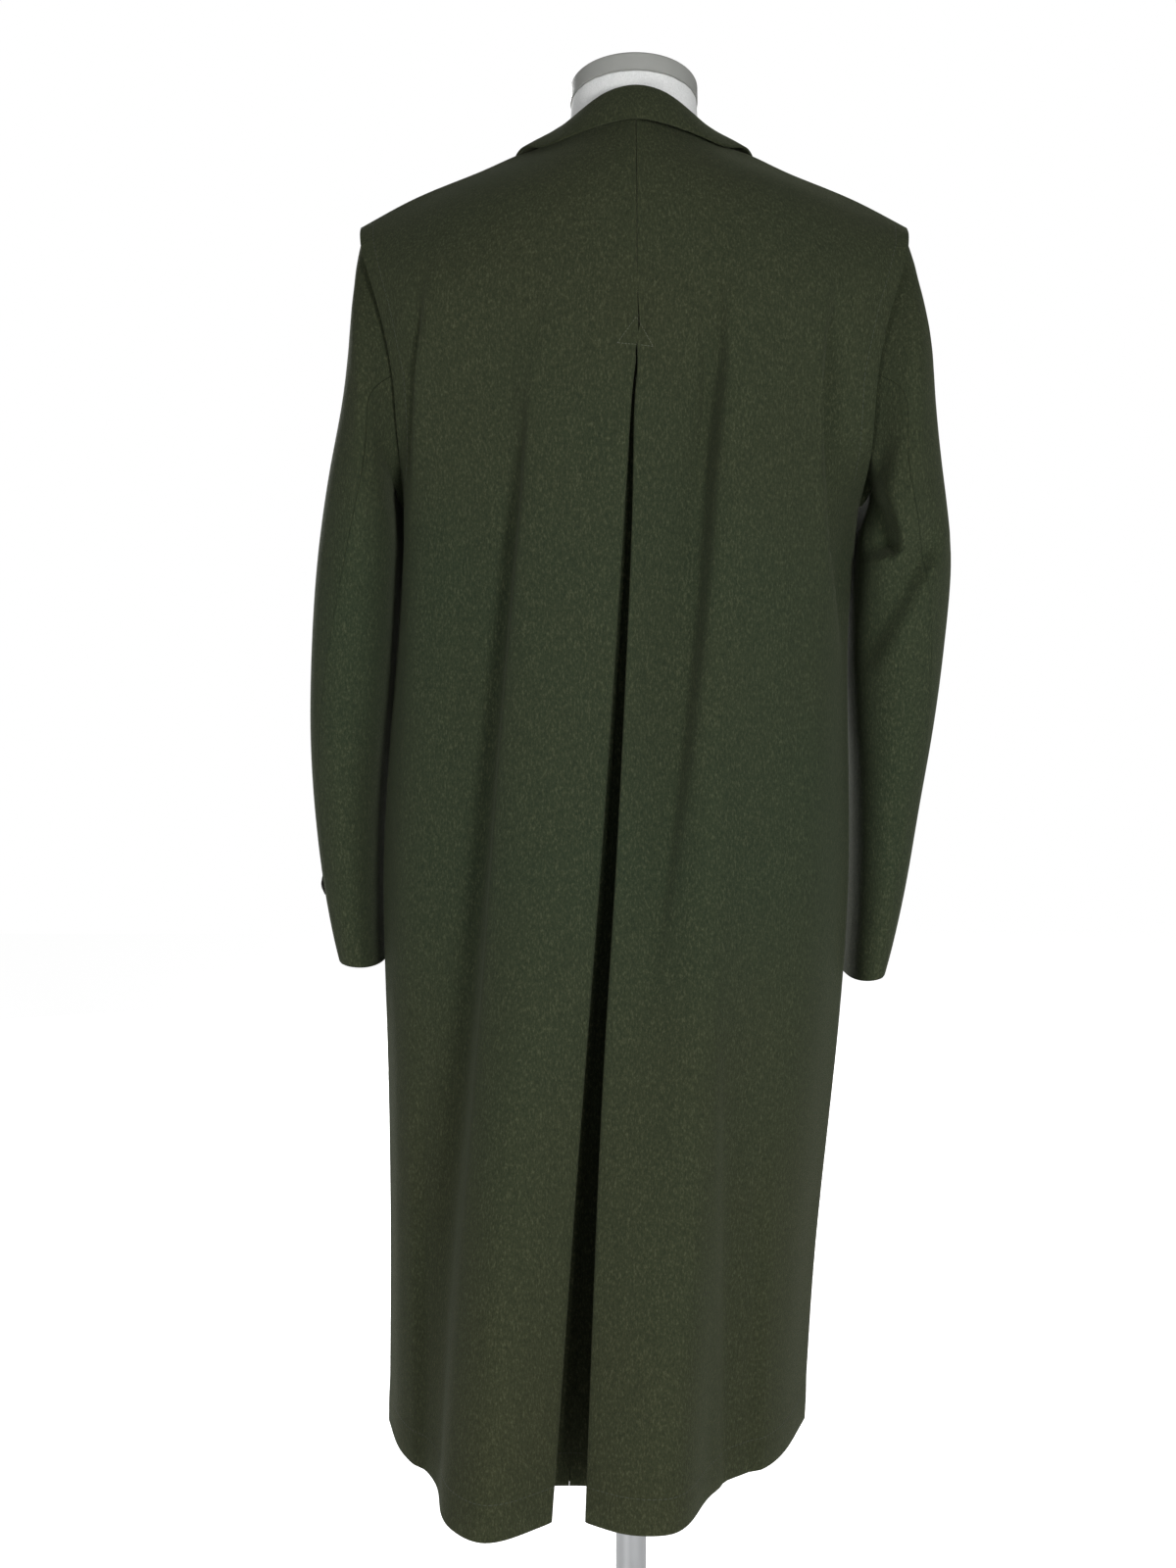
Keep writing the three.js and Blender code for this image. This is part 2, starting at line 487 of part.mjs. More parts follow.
function sleevePieces(side, name, table) {
  const list = spreadRings(sleeveRings(side, table));
  const seamAt = (r) => {
    const t = Math.max(0, r / 2 - HEAD_RINGS.length);
    const low = Math.min(Math.floor(t), table.length - 2);
    return THREE.MathUtils.degToRad(lerp(table[low].seam, table[low + 1].seam, Math.min(1, t - low)));
  };
  const pointAt = (ring, angle) => {
    const turn = ((angle + Math.PI) / TURN) * RING_POINTS;
    const i = Math.floor(turn);
    const at = (k) => ring[THREE.MathUtils.euclideanModulo(k, RING_POINTS)];
    return at(i).clone().lerp(at(i + 1), turn - i);
  };
  const front = THREE.MathUtils.degToRad(FOREARM_SEAM);
  const piece = (from, to, steps) => list.map((ring, r) => (
    Array.from({ length: steps + 1 }, (_, i) => pointAt(ring, lerp(from(r), to(r), i / steps)))
  ));
  const top = piece(seamAt, () => front, TOP_STEPS);
  const under = piece(() => front, (r) => seamAt(r) + TURN, UNDER_STEPS);
  const outward = side < 0 ? 1 : -1;
  const last = list.length - 1;
  joinSeam(
    columnEdge(top, outward, 0, 1, 0, last),
    columnEdge(under, outward, UNDER_STEPS, UNDER_STEPS - 1, 0, last),
  );
  joinSeam(
    columnEdge(top, outward, TOP_STEPS, TOP_STEPS - 1, 0, last),
    columnEdge(under, outward, 0, 1, 0, last),
  );
  add(`sleeve_top_${name}`, wall(top, outward), loden);
  add(`sleeve_under_${name}`, wall(under, outward), loden);
  return { top, under };
}
const sleeveLeft = sleevePieces(-1, "left", SLEEVE_LEFT);
const sleeveRight = sleevePieces(1, "right", SLEEVE_RIGHT);

// Collar: a stand that rises from the neckline, rolls over and falls on the panels
const COLLAR_ROLL = { width: 5.5, drop: 1.2, crown: 1.6, swell: 2.2 };
const COLLAR_STEPS = 32;
// seam and top are for the right half and mirrored on the left. The fall lies on the panel at a
// share of its columns and rows, and lift above its middle layer.
const COLLAR = [
  { seam: [0, -79, 1449.6], top: [0, -69, 1475], share: 1, row: 0.976, lift: 11, on: "back" },
  { seam: [26, -70, 1448], top: [23, -62, 1471], share: 0.9, row: 0.972, lift: 9.5, on: "back" },
  { seam: [52, -47, 1444.8], top: [43, -44, 1461.5], share: 0.78, row: 0.964, lift: 7, on: "back" },
  { seam: [74, -20, 1441.3], top: [60, -22, 1452.5], share: 0.64, row: 0.958, lift: 5, on: "back" },
  { seam: [83, 0, 1439.8], top: [69, 0, 1450.5], share: 0.55, row: 0.99, lift: 7.2, on: "back" },
  { seam: [74, 30, 1425], top: [64, 28, 1439], share: 0.5, row: 0.95, lift: 6.5, on: "front" },
  { seam: [50, 54, 1405.8], top: [46, 52, 1424], share: 0.55, row: 0.9, lift: 5, on: "front" },
  { seam: [24, 66, 1397.3], top: [24, 66, 1414], share: 0.63, row: 0.855, lift: 5, on: "front" },
  { seam: [4, 72, 1393], top: [4, 74, 1409], share: 0.72, row: 0.82, lift: 6, on: "front" },
];
function collarSection(row, side) {
  const name = `${row.on}${side < 0 ? "Left" : "Right"}`;
  const seat = onPanel(grids[name], OUTWARD[name], row.share, row.row);
  const fall = seat.point.addScaledVector(seat.normal, row.lift);
  const seam = v3(side * row.seam[0], row.seam[1], row.seam[2] + SEAM_GAP);
  const top = v3(side * row.top[0], row.top[1], row.top[2]);
  const away = fall.clone().sub(seam).setZ(0).normalize();
  const roll = top.clone().addScaledVector(away, COLLAR_ROLL.width);
  roll.z -= COLLAR_ROLL.drop;
  const crown = top.clone().lerp(roll, 0.5);
  crown.z += COLLAR_ROLL.crown;
  const shoulder = roll.clone().lerp(fall, 0.5).addScaledVector(away, COLLAR_ROLL.swell);
  return [seam, seam.clone().lerp(top, 0.5), top, crown, roll, shoulder, fall];
}
function collarGrid() {
  const left = COLLAR.map((row) => collarSection(row, -1));
  const right = COLLAR.slice(1).map((row) => collarSection(row, 1));
  const stations = [...left.slice().reverse(), ...right];
  const curves = stations[0].map((_, i) => new THREE.CatmullRomCurve3(stations.map((s) => s[i])));
  return curves.map((curve) => curve.getPoints(COLLAR_STEPS));
}
const collar = collarGrid();
add("collar", wall(collar, 1), loden);

// Turns a profile of [radius, height] points about the Z axis
function turned(profile, segments) {
  const geometry = new THREE.LatheGeometry(profile.map(([x, y]) => new THREE.Vector2(x, y)), segments);
  return geometry.rotateX(Math.PI / 2);
}

// Buttons: flat discs with a raised rim and a sunk middle, set on the cloth
const BUTTON_PROFILE = [[0, 0], [0.8, 0], [1, 0.45], [0.94, 1], [0.68, 0.74], [0, 0.7]];
function button(name, radius, place) {
  const profile = BUTTON_PROFILE.map(([out, up]) => [out * radius, up * BUTTON.height]);
  const mesh = add(name, turned(profile, 20), horn);
  mesh.quaternion.setFromUnitVectors(v3(0, 0, 1), place.normal);
  mesh.position.copy(place.point).addScaledVector(place.normal, BUTTON.lift);
}
// Share of the grid's rows at which a column reaches a height
function rowShareAt(grid, column, z) {
  for (let r = 1; r < grid.length; r += 1) {
    const [a, b] = [grid[r - 1][column].z, grid[r][column].z];
    if (z >= a && z <= b) return (r - 1 + (z - a) / (b - a)) / (grid.length - 1);
  }
  return 1;
}
const BUTTON_COLUMN = 0.87;
for (let i = 0; i < BUTTON.count; i += 1) {
  const column = Math.round(BUTTON_COLUMN * (COLUMN_COUNT - 1));
  const share = rowShareAt(grids.frontLeft, column, BUTTON.topZ - BUTTON.pitch * i);
  const place = onPanel(grids.frontLeft, OUTWARD.frontLeft, BUTTON_COLUMN, share);
  button(`button_${i + 1}`, BUTTON.radius, place);
}
for (const [name, sleeve, outward, across] of [
  ["cuff_button_left", sleeveLeft, 1, CUFF_BUTTON.acrossLeft],
  ["cuff_button_right", sleeveRight, -1, CUFF_BUTTON.acrossRight],
]) button(name, CUFF_BUTTON.radius, onPanel(sleeve.top, outward, across, CUFF_BUTTON.along));

// Dress form: a smooth torso with a slanted neck, a cap, a pole and a round base
const FORM_POINTS = 28;
function formRing(level, slant = 0) {
  return Array.from({ length: FORM_POINTS }, (_, i) => {
    const angle = (i / FORM_POINTS) * 2 * Math.PI;
    const y = Math.sin(angle) * (Math.sin(angle) < 0 ? -level.back : level.front);
    return v3(level.half * Math.cos(angle), y, level.z - y * slant);
  });
}
const neckSlant = Math.tan(CAP.tilt);
const neckTop = CAP.z + CAP.y * neckSlant - CAP_GAP;
const neck = [
  { z: 1464, half: 55, back: -52, front: 53, slant: 0.25 },
  { z: neckTop, half: 54, back: -50, front: 54, slant: neckSlant },
];
add("form_torso", rings([
  ...FORM.map((level) => formRing(level)),
  ...neck.map((level) => formRing(level, level.slant)),
]), jersey);
const capMesh = add("neck_cap", turned([
  [0, 0], [CAP.radius - 1.5, 0], [CAP.radius, 1.5], [CAP.radius, CAP.height - 4],
  [CAP.radius - 4, CAP.height], [0, CAP.height],
], 32), cap);
capMesh.rotation.x = -CAP.tilt;
capMesh.position.set(0, CAP.y, CAP.z);
add("stand_base", turned([
  [0, 0], [STAND.baseRadius, 0], [STAND.baseRadius, STAND.baseHeight - 4],
  [STAND.baseRadius - 5, STAND.baseHeight], [0, STAND.baseHeight],
], 48), steel);
const poleFoot = STAND.baseHeight + SEAM_GAP;
add("stand_pole", turned([
  [0, poleFoot], [STAND.poleRadius, poleFoot], [STAND.poleRadius, STAND.poleTop], [0, STAND.poleTop],
], 24), steel);

export default group;
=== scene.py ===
import math
import bmesh
import bpy
import numpy as np
from mathutils import Matrix, Vector
from mathutils.bvhtree import BVHTree


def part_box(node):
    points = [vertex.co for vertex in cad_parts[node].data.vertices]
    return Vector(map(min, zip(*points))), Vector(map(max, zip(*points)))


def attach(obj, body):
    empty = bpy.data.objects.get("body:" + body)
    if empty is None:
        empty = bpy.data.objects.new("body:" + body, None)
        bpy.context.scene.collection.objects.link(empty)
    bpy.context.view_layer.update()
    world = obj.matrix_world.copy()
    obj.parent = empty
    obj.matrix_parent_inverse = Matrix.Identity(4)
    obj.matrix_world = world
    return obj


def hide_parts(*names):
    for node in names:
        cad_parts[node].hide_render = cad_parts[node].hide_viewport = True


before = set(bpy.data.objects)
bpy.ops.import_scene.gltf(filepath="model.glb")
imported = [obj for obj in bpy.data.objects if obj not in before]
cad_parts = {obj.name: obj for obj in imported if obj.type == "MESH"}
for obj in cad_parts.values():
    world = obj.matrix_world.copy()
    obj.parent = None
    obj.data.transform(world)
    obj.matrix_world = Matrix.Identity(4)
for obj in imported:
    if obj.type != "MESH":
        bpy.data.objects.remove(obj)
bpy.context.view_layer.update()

# Camera: behind the coat at chest height, 1.8 m from its axis, tilted a little down.
# It takes in the frame of the picture, 1200 by 1600.
PICTURE = (1200, 1600)
FOCAL_PIXELS = 2068.0
CAMERA_PLACE = Vector((-0.0398, -1.8, 1.0515))
CAMERA_TILT = math.radians(5.25)
bpy.ops.object.select_all(action="DESELECT")
bpy.ops.object.camera_add(location=CAMERA_PLACE, rotation=(math.pi / 2 - CAMERA_TILT, 0, 0))
camera = bpy.context.object
camera.name = "camera"
camera.data.sensor_fit = "VERTICAL"
camera.data.sensor_height = 36.0
camera.data.lens = 36.0 * FOCAL_PIXELS / PICTURE[1]
bpy.context.scene.camera = camera

# Studio: a pale floor, a white surround and five large soft lights. The main light stands behind
# the camera on its right. Floor and surround look white, and light the coat only weakly.
bpy.context.scene.view_settings.view_transform = "Standard"
FLOOR_SIZE = 9.0
FLOOR_SEEN = 0.85
FLOOR_FILL = 0.10
SURROUND_SEEN = 1.0
SURROUND_FILL = 0.13
bpy.ops.mesh.primitive_plane_add(size=FLOOR_SIZE, location=(0, 0, 0))
floor = bpy.context.object
floor.name = "floor"
floor_paint = bpy.data.materials.new("pale_floor")
floor_paint.use_nodes = True
floor_shader = floor_paint.node_tree.nodes["Principled BSDF"]
floor_shader.inputs["Base Color"].default_value = (0.93, 0.93, 0.93, 1)
floor_shader.inputs["Roughness"].default_value = 0.9
floor_shader.inputs["Emission Color"].default_value = (1, 1, 1, 1)
floor_view = floor_paint.node_tree.nodes.new("ShaderNodeLightPath")
floor_glow = floor_paint.node_tree.nodes.new("ShaderNodeMapRange")
floor_glow.inputs["To Min"].default_value = FLOOR_FILL
floor_glow.inputs["To Max"].default_value = FLOOR_SEEN
floor_paint.node_tree.links.new(floor_view.outputs["Is Camera Ray"], floor_glow.inputs["Value"])
floor_paint.node_tree.links.new(floor_glow.outputs["Result"], floor_shader.inputs["Emission Strength"])
floor.data.materials.append(floor_paint)
world = bpy.data.worlds.new("white_surround")
world.use_nodes = True
surround = world.node_tree.nodes["Background"]
surround.inputs["Color"].default_value = (1, 1, 1, 1)
surround_view = world.node_tree.nodes.new("ShaderNodeLightPath")
surround_glow = world.node_tree.nodes.new("ShaderNodeMapRange")
surround_glow.inputs["To Min"].default_value = SURROUND_FILL
surround_glow.inputs["To Max"].default_value = SURROUND_SEEN
world.node_tree.links.new(surround_view.outputs["Is Camera Ray"], surround_glow.inputs["Value"])
world.node_tree.links.new(surround_glow.outputs["Result"], surround.inputs["Strength"])
bpy.context.scene.world = world
LIGHTS = [
    # name, place, aimed at, size, watts
    ("light_main", (1.25, -3.1, 0.95), (0, 0, 0.70), 0.7, 68),
    ("light_side", (2.6, -1.2, 0.8), (0, 0, 0.75), 1.0, 2),
    ("light_left", (-2.0, -2.8, 0.25), (-0.15, 0, 0.36), 0.9, 44),
    ("light_back", (-1.0, 2.9, 1.7), (0, 0, 0.9), 1.2, 85),
    ("light_top", (0.0, -0.4, 5.5), (0, 0, 0), 4.0, 16),
]
for name, place, target, size, watts in LIGHTS:
    bpy.ops.object.light_add(type="AREA", location=place)
    lamp = bpy.context.object
    lamp.name = name
    lamp.data.size = size
    lamp.data.energy = watts
    lamp.rotation_euler = (Vector(target) - Vector(place)).to_track_quat("-Z", "Y").to_euler()


# Loden: milled wool with a short nap, woven from dark olive and paler green yarns.
# Its fibres lie down the cloth, so the flecks are longer than they are wide.
LODEN_TONE = 0.68
FIBRES_DOWN = (1.0, 1.0, 0.42)
FLECK_SCALE = 660.0
FIBRE_SCALE = 1500.0
CLOUD_SCALE = 5.0
NAP_SHARE = 0.36
CLOUD_SHARE = 0.22
PAINTED_LIGHT_SHARE = 0.30
# Painted light: with height the colour goes from a lighter olive at the hem to a cooler green at mid-height
# and back to a darker olive toward the collar, standing in for how the light falls on the coat
HEM_HEIGHT = 0.30
COLLAR_HEIGHT = 1.48


def loden(name, tone):
    material = bpy.data.materials.new(name)
    material.use_nodes = True
    nodes = material.node_tree.nodes
    links = material.node_tree.links
    shader = nodes["Principled BSDF"]
    shader.inputs["Roughness"].default_value = 0.95
    shader.inputs["Specular IOR Level"].default_value = 0.15
    shader.inputs["Sheen Weight"].default_value = 0.10
    shader.inputs["Sheen Roughness"].default_value = 0.45
    shader.inputs["Sheen Tint"].default_value = (0.62, 0.68, 0.46, 1)
    place = nodes.new("ShaderNodeTexCoord")
    stretch = nodes.new("ShaderNodeMapping")
    stretch.inputs["Scale"].default_value = FIBRES_DOWN
    links.new(place.outputs["Object"], stretch.inputs["Vector"])

    def noise(scale, detail, roughness, source):
        texture = nodes.new("ShaderNodeTexNoise")
        texture.inputs["Scale"].default_value = scale
        texture.inputs["Detail"].default_value = detail
        texture.inputs["Roughness"].default_value = roughness
        links.new(source, texture.inputs["Vector"])
        return texture.outputs["Fac"]

    def ramp(value, stops):
        scale = nodes.new("ShaderNodeValToRGB")
        while len(scale.color_ramp.elements) < len(stops):
            scale.color_ramp.elements.new(0.5)
        for element, (position, colour) in zip(scale.color_ramp.elements, stops):
            element.position = position
            element.color = (*(c * tone for c in colour), 1)
        links.new(value, scale.inputs["Fac"])
        return scale.outputs["Color"]

    def mix(share, first, second):
        blend = nodes.new("ShaderNodeMix")
        blend.data_type = "RGBA"
        blend.inputs["Factor"].default_value = share
        links.new(first, blend.inputs["A"])
        links.new(second, blend.inputs["B"])
        return blend.outputs["Result"]

    flecks = noise(FLECK_SCALE, 3.0, 0.65, stretch.outputs["Vector"])
    fibres = noise(FIBRE_SCALE, 3.0, 0.7, stretch.outputs["Vector"])
    clouds = noise(CLOUD_SCALE, 2.0, 0.5, place.outputs["Object"])
    place_on_coat = nodes.new("ShaderNodeSeparateXYZ")
    links.new(place.outputs["Object"], place_on_coat.inputs["Vector"])
    height = nodes.new("ShaderNodeMapRange")
    height.inputs["From Min"].default_value = HEM_HEIGHT
    height.inputs["From Max"].default_value = COLLAR_HEIGHT
    links.new(place_on_coat.outputs["Z"], height.inputs["Value"])
    yarn = ramp(flecks, [
        (0.35, (0.006, 0.009, 0.004)), (0.46, (0.030, 0.040, 0.018)),
        (0.55, (0.044, 0.054, 0.024)), (0.67, (0.150, 0.156, 0.084)),
    ])
    nap = ramp(fibres, [(0.36, (0.010, 0.014, 0.006)), (0.64, (0.086, 0.096, 0.046))])
    drift = ramp(clouds, [(0.35, (0.030, 0.048, 0.026)), (0.65, (0.048, 0.050, 0.026))])
    cloth = mix(NAP_SHARE, yarn, nap)
    cloth = mix(CLOUD_SHARE, cloth, drift)
    # Painted light: the colour by height is lighter at the hem and darker toward the collar, in place of
    # real light and shade
    painted_light_band = ramp(height.outputs["Result"], [
        (0.00, (0.050, 0.051, 0.025)), (0.22, (0.044, 0.050, 0.026)), (0.44, (0.028, 0.050, 0.029)),
        (0.66, (0.028, 0.050, 0.029)), (0.84, (0.038, 0.046, 0.025)), (1.00, (0.042, 0.046, 0.024)),
    ])
    links.new(mix(PAINTED_LIGHT_SHARE, cloth, painted_light_band), shader.inputs["Base Color"])
    bump = nodes.new("ShaderNodeBump")
    bump.inputs["Strength"].default_value = 0.5
    bump.inputs["Distance"].default_value = 0.0006
    links.new(fibres, bump.inputs["Height"])
    coarse = nodes.new("ShaderNodeBump")
    coarse.inputs["Strength"].default_value = 0.35
    coarse.inputs["Distance"].default_value = 0.001
    links.new(flecks, coarse.inputs["Height"])
    links.new(bump.outputs["Normal"], coarse.inputs["Normal"])
    links.new(coarse.outputs["Normal"], shader.inputs["Normal"])
    return material


# Body and sleeves: each panel is a fine shell on its solid's form, with rounded cut edges.
# The edges of the 2 mm wall stay where the maker cut them, the cloth between runs smooth.
CLOTH = 0.002
SAME_PLACE = 0.00001
CORNER_ANGLE = math.radians(40)
EDGE_ROUND = 0.0006
EDGE_ANGLE = math.radians(55)
loden_cloth = loden("loden_cloth", LODEN_TONE)


def select_only(piece):
    bpy.ops.object.select_all(action="DESELECT")
    piece.select_set(True)
    bpy.context.view_layer.objects.active = piece


def fine_copy(node, name):
    mesh = bpy.data.objects[node].data.copy()
    mesh.materials.clear()
    piece = bpy.data.objects.new(name, mesh)
    bpy.context.collection.objects.link(piece)
    select_only(piece)
    bpy.ops.object.mode_set(mode="EDIT")
    bpy.ops.mesh.select_all(action="SELECT")
    bpy.ops.mesh.remove_doubles(threshold=SAME_PLACE)
    bpy.ops.mesh.tris_convert_to_quads(face_threshold=math.pi, shape_threshold=math.pi)
    bpy.ops.object.mode_set(mode="OBJECT")
    return piece


# Creases the rims of the wall, and the 2 mm edges at its corners, where two rims meet at an angle
def crease_rims(piece):
    form = bmesh.new()
    form.from_mesh(piece.data)
    crease = form.edges.layers.float.get("crease_edge") or form.edges.layers.float.new("crease_edge")
    across = {e for e in form.edges if abs(e.calc_length() - CLOTH) < CLOTH / 100}
    rims = {f for f in form.faces if sum(e in across for e in f.edges) >= 2}
    for face in rims:
        for edge in face.edges:
            if edge not in across:
                edge[crease] = 1.0
            elif all(f in rims for f in edge.link_faces) and edge.calc_face_angle(0.0) > CORNER_ANGLE:
                edge[crease] = 1.0
    form.to_mesh(piece.data)
    form.free()


def apply(piece, kind, **settings):
    select_only(piece)
    modifier = piece.modifiers.new(kind.lower(), kind)
    for key, value in settings.items():
        setattr(modifier, key, value)
    bpy.ops.object.modifier_apply(modifier=modifier.name)


# Folds: each runs down the cloth through points of [x, z] as seen from the back or the front.
# Left of its line the cloth sinks by left over left_width, right of it it rises by right.
# edge is how wide the turn between the two is, and top and bottom how soon the fold dies out.
FOLDS_BACK = [
    {"at": [(-0.086, 1.262), (-0.090, 1.222), (-0.096, 1.140), (-0.104, 1.059), (-0.118, 0.900),
            (-0.129, 0.738), (-0.136, 0.655), (-0.150, 0.467), (-0.157, 0.399), (-0.161, 0.295)],
     "left": -0.0115, "left_width": 0.016, "right": 0.0022, "right_width": 0.030, "edge": 0.008,
     "top": 0.16, "bottom": 0.62},
    {"at": [(-0.173, 1.352), (-0.176, 1.312), (-0.179, 1.284), (-0.186, 1.235), (-0.190, 1.182),
            (-0.193, 1.120)],
     "left": -0.0056, "left_width": 0.013, "right": 0.0022, "right_width": 0.014, "edge": 0.006,
     "top": 0.35, "bottom": 0.30},
    {"at": [(0.066, 1.345), (0.071, 1.292), (0.072, 1.250), (0.064, 1.168), (0.057, 1.060),
            (0.049, 0.978), (0.039, 0.895), (0.022, 0.775), (0.008, 0.690)],
     "left": -0.0115, "left_width": 0.018, "right": 0.0028, "right_width": 0.028, "edge": 0.007,
     "top": 0.25, "bottom": 0.40},
    {"at": [(0.166, 1.330), (0.160, 1.275), (0.157, 1.222), (0.160, 1.160), (0.165, 1.100),
            (0.176, 1.040), (0.184, 0.985)],
     "left": 0.0028, "left_width": 0.014, "right": -0.0110, "right_width": 0.022, "edge": 0.007,
     "top": 0.30, "bottom": 0.30},
    {"at": [(0.070, 0.800), (0.069, 0.620), (0.071, 0.450), (0.074, 0.295)],
     "left": 0.0016, "left_width": 0.018, "right": -0.0050, "right_width": 0.020, "edge": 0.010,
     "top": 0.45, "bottom": 0.0},
    {"at": [(0.112, 0.640), (0.108, 0.480), (0.104, 0.295)],
     "left": -0.0030, "left_width": 0.014, "right": 0.0020, "right_width": 0.020, "edge": 0.014,
     "top": 0.50, "bottom": 0.0},
    {"at": [(-0.190, 0.760), (-0.188, 0.560), (-0.186, 0.295)],
     "left": 0.0014, "left_width": 0.012, "right": -0.0034, "right_width": 0.013, "edge": 0.014,
     "top": 0.50, "bottom": 0.0},
    {"at": [(-0.074, 1.330), (-0.078, 1.285), (-0.082, 1.235)],
     "left": -0.0020, "left_width": 0.014, "right": 0.0006, "right_width": 0.012, "edge": 0.010,
     "top": 0.50, "bottom": 0.40},
    {"at": [(0.042, 1.356), (0.049, 1.300), (0.055, 1.240), (0.053, 1.140)],
     "left": 0.0006, "left_width": 0.012, "right": -0.0026, "right_width": 0.012, "edge": 0.008,
     "top": 0.40, "bottom": 0.40},
    {"at": [(-0.060, 0.960), (-0.066, 0.820), (-0.080, 0.640)],
     "left": 0.0010, "left_width": 0.018, "right": -0.0012, "right_width": 0.014, "edge": 0.016,
     "top": 0.50, "bottom": 0.50},
    {"at": [(0.128, 1.110), (0.134, 1.000), (0.126, 0.860)],
     "left": 0.0010, "left_width": 0.016, "right": -0.0014, "right_width": 0.016, "edge": 0.016,
     "top": 0.50, "bottom": 0.50},
]
FOLDS_FRONT = [
    {"at": [(-0.128, 1.200), (-0.136, 1.060), (-0.142, 0.900), (-0.150, 0.660), (-0.158, 0.295)],
     "left": 0.0016, "left_width": 0.020, "right": -0.0042, "right_width": 0.018, "edge": 0.012,
     "top": 0.30, "bottom": 0.0},
    {"at": [(0.124, 1.180), (0.122, 1.040), (0.112, 0.860), (0.106, 0.620), (0.098, 0.295)],
     "left": -0.0040, "left_width": 0.017, "right": 0.0018, "right_width": 0.022, "edge": 0.012,
     "top": 0.30, "bottom": 0.0},
    {"at": [(-0.176, 1.300), (-0.180, 1.220), (-0.188, 1.120)],
     "left": -0.0024, "left_width": 0.014, "right": 0.0014, "right_width": 0.015, "edge": 0.008,
     "top": 0.40, "bottom": 0.40},
    {"at": [(0.174, 1.310), (0.178, 1.230), (0.184, 1.130)],
     "left": 0.0014, "left_width": 0.015, "right": -0.0026, "right_width": 0.014, "edge": 0.008,
     "top": 0.40, "bottom": 0.40},
    {"at": [(-0.078, 0.700), (-0.084, 0.500), (-0.088, 0.295)],
     "left": -0.0030, "left_width": 0.016, "right": 0.0018, "right_width": 0.020, "edge": 0.014,
     "top": 0.50, "bottom": 0.0},
    {"at": [(0.056, 0.900), (0.060, 0.640), (0.052, 0.420)],
     "left": 0.0014, "left_width": 0.018, "right": -0.0022, "right_width": 0.018, "edge": 0.016,
     "top": 0.50, "bottom": 0.50},
    {"at": [(-0.062, 1.235), (-0.088, 1.205), (-0.118, 1.196)],
     "left": 0.0012, "left_width": 0.012, "right": -0.0012, "right_width": 0.012, "edge": 0.012,
     "top": 0.50, "bottom": 0.50},
]
FOLDS_SLEEVE_BACK = [
    {"at": [(-0.238, 1.352), (-0.222, 1.312), (-0.207, 1.250), (-0.204, 1.200), (-0.202, 1.150)],
     "left": -0.0045, "left_width": 0.015, "right": -0.0045, "right_width": 0.020, "edge": 0.004,
     "top": 0.10, "bottom": 0.30},
    {"at": [(0.238, 1.352), (0.222, 1.312), (0.207, 1.250), (0.204, 1.200), (0.202, 1.150)],
     "left": -0.0045, "left_width": 0.020, "right": -0.0045, "right_width": 0.015, "edge": 0.004,
     "top": 0.10, "bottom": 0.30},
    {"at": [(0.200, 1.176), (0.204, 1.162), (0.217, 1.127), (0.228, 1.088)],
     "left": -0.0330, "left_width": 0.030, "right": 0.0020, "right_width": 0.024, "edge": 0.006,
     "top": 0.20, "bottom": 0.12},
    {"at": [(0.276, 1.112), (0.266, 1.103), (0.243, 1.068), (0.218, 1.018), (0.198, 0.971)],
     "left": -0.0150, "left_width": 0.028, "right": 0.0010, "right_width": 0.020, "edge": 0.012,
     "top": 0.20, "bottom": 0.30},
    {"at": [(0.286, 1.104), (0.268, 1.098), (0.250, 1.092), (0.228, 1.086)],
     "left": 0.0016, "left_width": 0.010, "right": -0.0040, "right_width": 0.010, "edge": 0.006,
     "top": 0.20, "bottom": 0.30},
    {"at": [(0.276, 1.134), (0.250, 1.100), (0.222, 1.074)],
     "left": -0.0024, "left_width": 0.014, "right": 0.0018, "right_width": 0.014, "edge": 0.012,
     "top": 0.40, "bottom": 0.40},
    {"at": [(0.262, 0.985), (0.236, 0.968), (0.212, 0.966)],
     "left": 0.0018, "left_width": 0.014, "right": -0.0022, "right_width": 0.014, "edge": 0.012,
     "top": 0.45, "bottom": 0.45},
    {"at": [(0.240, 1.236), (0.236, 1.180), (0.226, 1.130)],
     "left": -0.0026, "left_width": 0.012, "right": 0.0012, "right_width": 0.014, "edge": 0.012,
     "top": 0.40, "bottom": 0.40},
    {"at": [(-0.234, 1.226), (-0.230, 1.170), (-0.224, 1.110)],
     "left": 0.0014, "left_width": 0.012, "right": -0.0022, "right_width": 0.012, "edge": 0.012,
     "top": 0.40, "bottom": 0.40},
    {"at": [(-0.216, 1.052), (-0.240, 1.062), (-0.262, 1.086)],
     "left": -0.0018, "left_width": 0.013, "right": 0.0016, "right_width": 0.014, "edge": 0.012,
     "top": 0.40, "bottom": 0.45},
    {"at": [(-0.224, 0.962), (-0.246, 0.966), (-0.268, 0.984)],
     "left": 0.0012, "left_width": 0.012, "right": -0.0014, "right_width": 0.012, "edge": 0.012,
     "top": 0.40, "bottom": 0.45},
]
